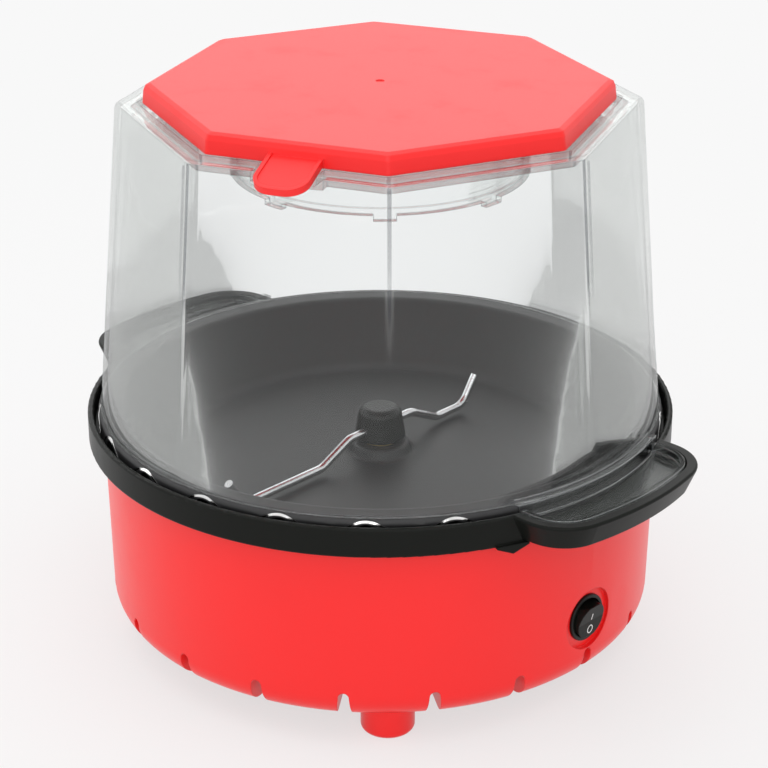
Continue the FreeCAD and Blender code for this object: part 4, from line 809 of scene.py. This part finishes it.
class POPCORN_OT_screws(bpy.types.Operator):
    """Replace the plain screws by cross-headed ones"""

    bl_idname = "popcorn.screws"
    bl_label = "Screws"

    def execute(self, context):
        sizes = context.scene.popcorn_sizes
        metal = brushed_metal("screw_zinc", context.scene.popcorn_colours.steel, 0.30)
        pattern = bpy.data.objects.new("screw_pattern", screw_mesh(sizes))
        tree, names = screw_tree(pattern, metal)
        for node in ("ring_screws", "base_screws", "shield_screws", "motor_screws", "block_screw"):
            self.make_group(node, tree, names, sizes, metal)
        bpy.data.node_groups.remove(tree)
        bpy.data.objects.remove(pattern)
        return {"FINISHED"}

    def make_group(self, node, tree, names, sizes, metal):
        heads_up = node in ("ring_screws", "block_screw")
        low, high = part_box(node)
        seat = high.z - sizes.screw_head_height if heads_up else low.z + sizes.screw_head_height
        points = bpy.data.meshes.new(node + "_points")
        points.from_pydata([(spot.x, spot.y, seat) for spot in self.centres(node)], [], [])
        carrier = bpy.data.objects.new(node + "_points", points)
        bpy.context.scene.collection.objects.link(carrier)
        modifier = carrier.modifiers.new("screws", "NODES")
        modifier.node_group = tree
        modifier[names["Head Tilt"]] = 0.0 if heads_up else math.pi
        modifier[names["Screw Scale"]] = 1.0
        graph = bpy.context.evaluated_depsgraph_get()
        mesh = bpy.data.meshes.new_from_object(carrier.evaluated_get(graph))
        carrier.modifiers.remove(modifier)
        bpy.data.objects.remove(carrier)
        mesh.name = node + "_cross"
        piece = new_piece(node + "_cross", mesh, "base", metal)
        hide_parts(node)

    def centres(self, node):
        """Axis positions of a group's screws, from its loose solids."""
        bm = bmesh.new()
        bm.from_mesh(NODES[node].data)
        bmesh.ops.remove_doubles(bm, verts=bm.verts, dist=WELD_DISTANCE)
        left = set(bm.verts)
        spots = []
        while left:
            reached = {left.pop()}
            front = list(reached)
            while front:
                vert = front.pop()
                for edge in vert.link_edges:
                    other = edge.other_vert(vert)
                    if other in left:
                        left.remove(other)
                        reached.add(other)
                        front.append(other)
            xs = [vert.co.x for vert in reached]
            ys = [vert.co.y for vert in reached]
            spots.append(Vector(((min(xs) + max(xs)) / 2, (min(ys) + max(ys)) / 2, 0.0)))
        bm.free()
        return sorted(spots, key=lambda spot: round(math.atan2(spot.y, spot.x), 4))


class POPCORN_OT_stage(bpy.types.Operator):
    """Set up the floor, the lights and the camera"""

    bl_idname = "popcorn.stage"
    bl_label = "Studio"

    def execute(self, context):
        scene = context.scene
        studio = scene.popcorn_studio
        self.make_floor(scene, studio)
        self.make_world(scene, studio)
        self.make_lights(scene, studio)
        self.make_camera(scene, studio)
        scene.view_settings.view_transform = "Standard"
        return {"FINISHED"}

    def make_floor(self, scene, studio):
        mesh = bpy.data.meshes.new("floor")
        bm = bmesh.new()
        bmesh.ops.create_circle(bm, cap_ends=True, segments=FLOOR_STEPS, radius=FLOOR_RADIUS)
        bm.to_mesh(mesh)
        bm.free()
        floor = bpy.data.objects.new("floor", mesh)
        finish = Finish("pale_floor")
        tone = finish.blend(finish.noise(FLOOR_SCALE), *FLOOR_TONES)
        matt = finish.principled(base_color=tone, roughness=0.9, specular_ior_level=0.0)
        seen = finish.seen_directly()
        level = (studio.backdrop,) * 3
        glow = finish.node("ShaderNodeEmission", None, {"Color": (*level, 1.0), "Strength": 1.0})
        x, y, _ = finish.axes()
        away = ((x * x + y * y) ** 0.5).step(SHADE_START, SHADE_END)
        even = studio.even_floor + (1.0 - studio.even_floor) * away
        shown = finish.node("ShaderNodeMixShader", None, {0: seen * even, 1: matt, 2: glow})
        mesh.materials.append(finish.surface(shown))
        scene.collection.objects.link(floor)

    def make_world(self, scene, studio):
        world = bpy.data.worlds.new("studio_surround")
        scene.world = world
        world.use_nodes = True
        nodes, links = world.node_tree.nodes, world.node_tree.links
        nodes.clear()
        path = nodes.new("ShaderNodeLightPath")
        seen = nodes.new("ShaderNodeMath")
        seen.operation = "MAXIMUM"
        through = nodes.new("ShaderNodeMath")
        through.operation = "MAXIMUM"
        links.new(path.outputs["Is Camera Ray"], seen.inputs[0])
        links.new(path.outputs["Is Transmission Ray"], seen.inputs[1])
        links.new(seen.outputs[0], through.inputs[0])
        links.new(path.outputs["Is Glossy Ray"], through.inputs[1])
        lit = nodes.new("ShaderNodeBackground")
        lit.inputs["Strength"].default_value = studio.surround
        lit.inputs["Color"].default_value = (1.0, 1.0, 1.0, 1.0)
        shown = nodes.new("ShaderNodeBackground")
        shown.inputs["Strength"].default_value = studio.backdrop
        shown.inputs["Color"].default_value = (1.0, 1.0, 1.0, 1.0)
        mix = nodes.new("ShaderNodeMixShader")
        out = nodes.new("ShaderNodeOutputWorld")
        links.new(through.outputs[0], mix.inputs[0])
        links.new(lit.outputs[0], mix.inputs[1])
        links.new(shown.outputs[0], mix.inputs[2])
        links.new(mix.outputs[0], out.inputs["Surface"])

    def make_lights(self, scene, studio):
        # Name, place, width, height and power of each light
        plan = (
            ("overhead_light", (0.0, -0.1, 1.80), 2.20, 2.20, studio.key_power),
            ("back_light", (-1.15, 1.25, 0.95), 1.50, 0.90, studio.side_power * 0.8),
            ("left_light", (-1.35, -0.75, 0.85), 0.60, 1.20, studio.side_power * 0.7),
            ("front_light", (1.00, -1.30, 0.80), 1.40, 0.90, studio.side_power * 1.3),
        )
        aim = Vector(LIGHT_AIM)
        for name, place, width, height, power in plan:
            lamp = bpy.data.lights.new(name, "AREA")
            lamp.shape = "RECTANGLE"
            lamp.size = width
            lamp.size_y = height
            lamp.energy = power
            held = bpy.data.objects.new(name, lamp)
            held.location = place
            held.rotation_euler = (aim - Vector(place)).to_track_quat("-Z", "Y").to_euler()
            scene.collection.objects.link(held)

    def make_camera(self, scene, studio):
        data = bpy.data.cameras.new("camera")
        data.lens = studio.lens
        data.sensor_width = SENSOR_WIDTH
        data.shift_x, data.shift_y = CAMERA_SHIFT
        data.clip_start, data.clip_end = CLIP_START, CLIP_END
        camera = bpy.data.objects.new("camera", data)
        camera.location = CAMERA_PLACE
        camera.rotation_euler = Vector(CAMERA_LOOK).to_track_quat("-Z", "Y").to_euler()
        scene.collection.objects.link(camera)
        scene.camera = camera


class POPCORN_PT_pieces(bpy.types.Panel):
    """Lists the steps that finish the popcorn maker"""

    bl_idname = "POPCORN_PT_pieces"
    bl_label = "Popcorn maker"
    bl_space_type = "VIEW_3D"
    bl_region_type = "UI"
    bl_category = "Popcorn maker"

    def draw(self, context):
        for step in STEPS:
            self.layout.operator(step.bl_idname)
        for held, _ in GROUPS:
            group = getattr(context.scene, held)
            column = self.layout.column(align=True)
            for name in group.__annotations__:
                column.prop(group, name)


STEPS = (
    POPCORN_OT_red_mouldings,
    POPCORN_OT_handle_ring,
    POPCORN_OT_heating_pan,
    POPCORN_OT_clear_cover,
    POPCORN_OT_switch,
    POPCORN_OT_stirrer,
    POPCORN_OT_heater,
    POPCORN_OT_wiring,
    POPCORN_OT_screws,
    POPCORN_OT_stage,
)
GROUPS = (
    ("popcorn_colours", FinishColours),
    ("popcorn_sizes", FinishSizes),
    ("popcorn_studio", StudioValues),
)


def register():
    for name, group in GROUPS:
        bpy.utils.register_class(group)
        setattr(bpy.types.Scene, name, PointerProperty(type=group))
    for step in STEPS:
        bpy.utils.register_class(step)
    bpy.utils.register_class(POPCORN_PT_pieces)


def unregister():
    bpy.utils.unregister_class(POPCORN_PT_pieces)
    for step in reversed(STEPS):
        bpy.utils.unregister_class(step)
    for name, group in reversed(GROUPS):
        delattr(bpy.types.Scene, name)
        bpy.utils.unregister_class(group)


def main():
    register()
    bpy.ops.popcorn.red_mouldings()
    bpy.ops.popcorn.handle_ring()
    bpy.ops.popcorn.heating_pan()
    bpy.ops.popcorn.clear_cover()
    bpy.ops.popcorn.switch()
    bpy.ops.popcorn.stirrer()
    bpy.ops.popcorn.heater()
    bpy.ops.popcorn.wiring()
    bpy.ops.popcorn.screws()
    bpy.ops.popcorn.stage()


if __name__ == "__main__":
    main()
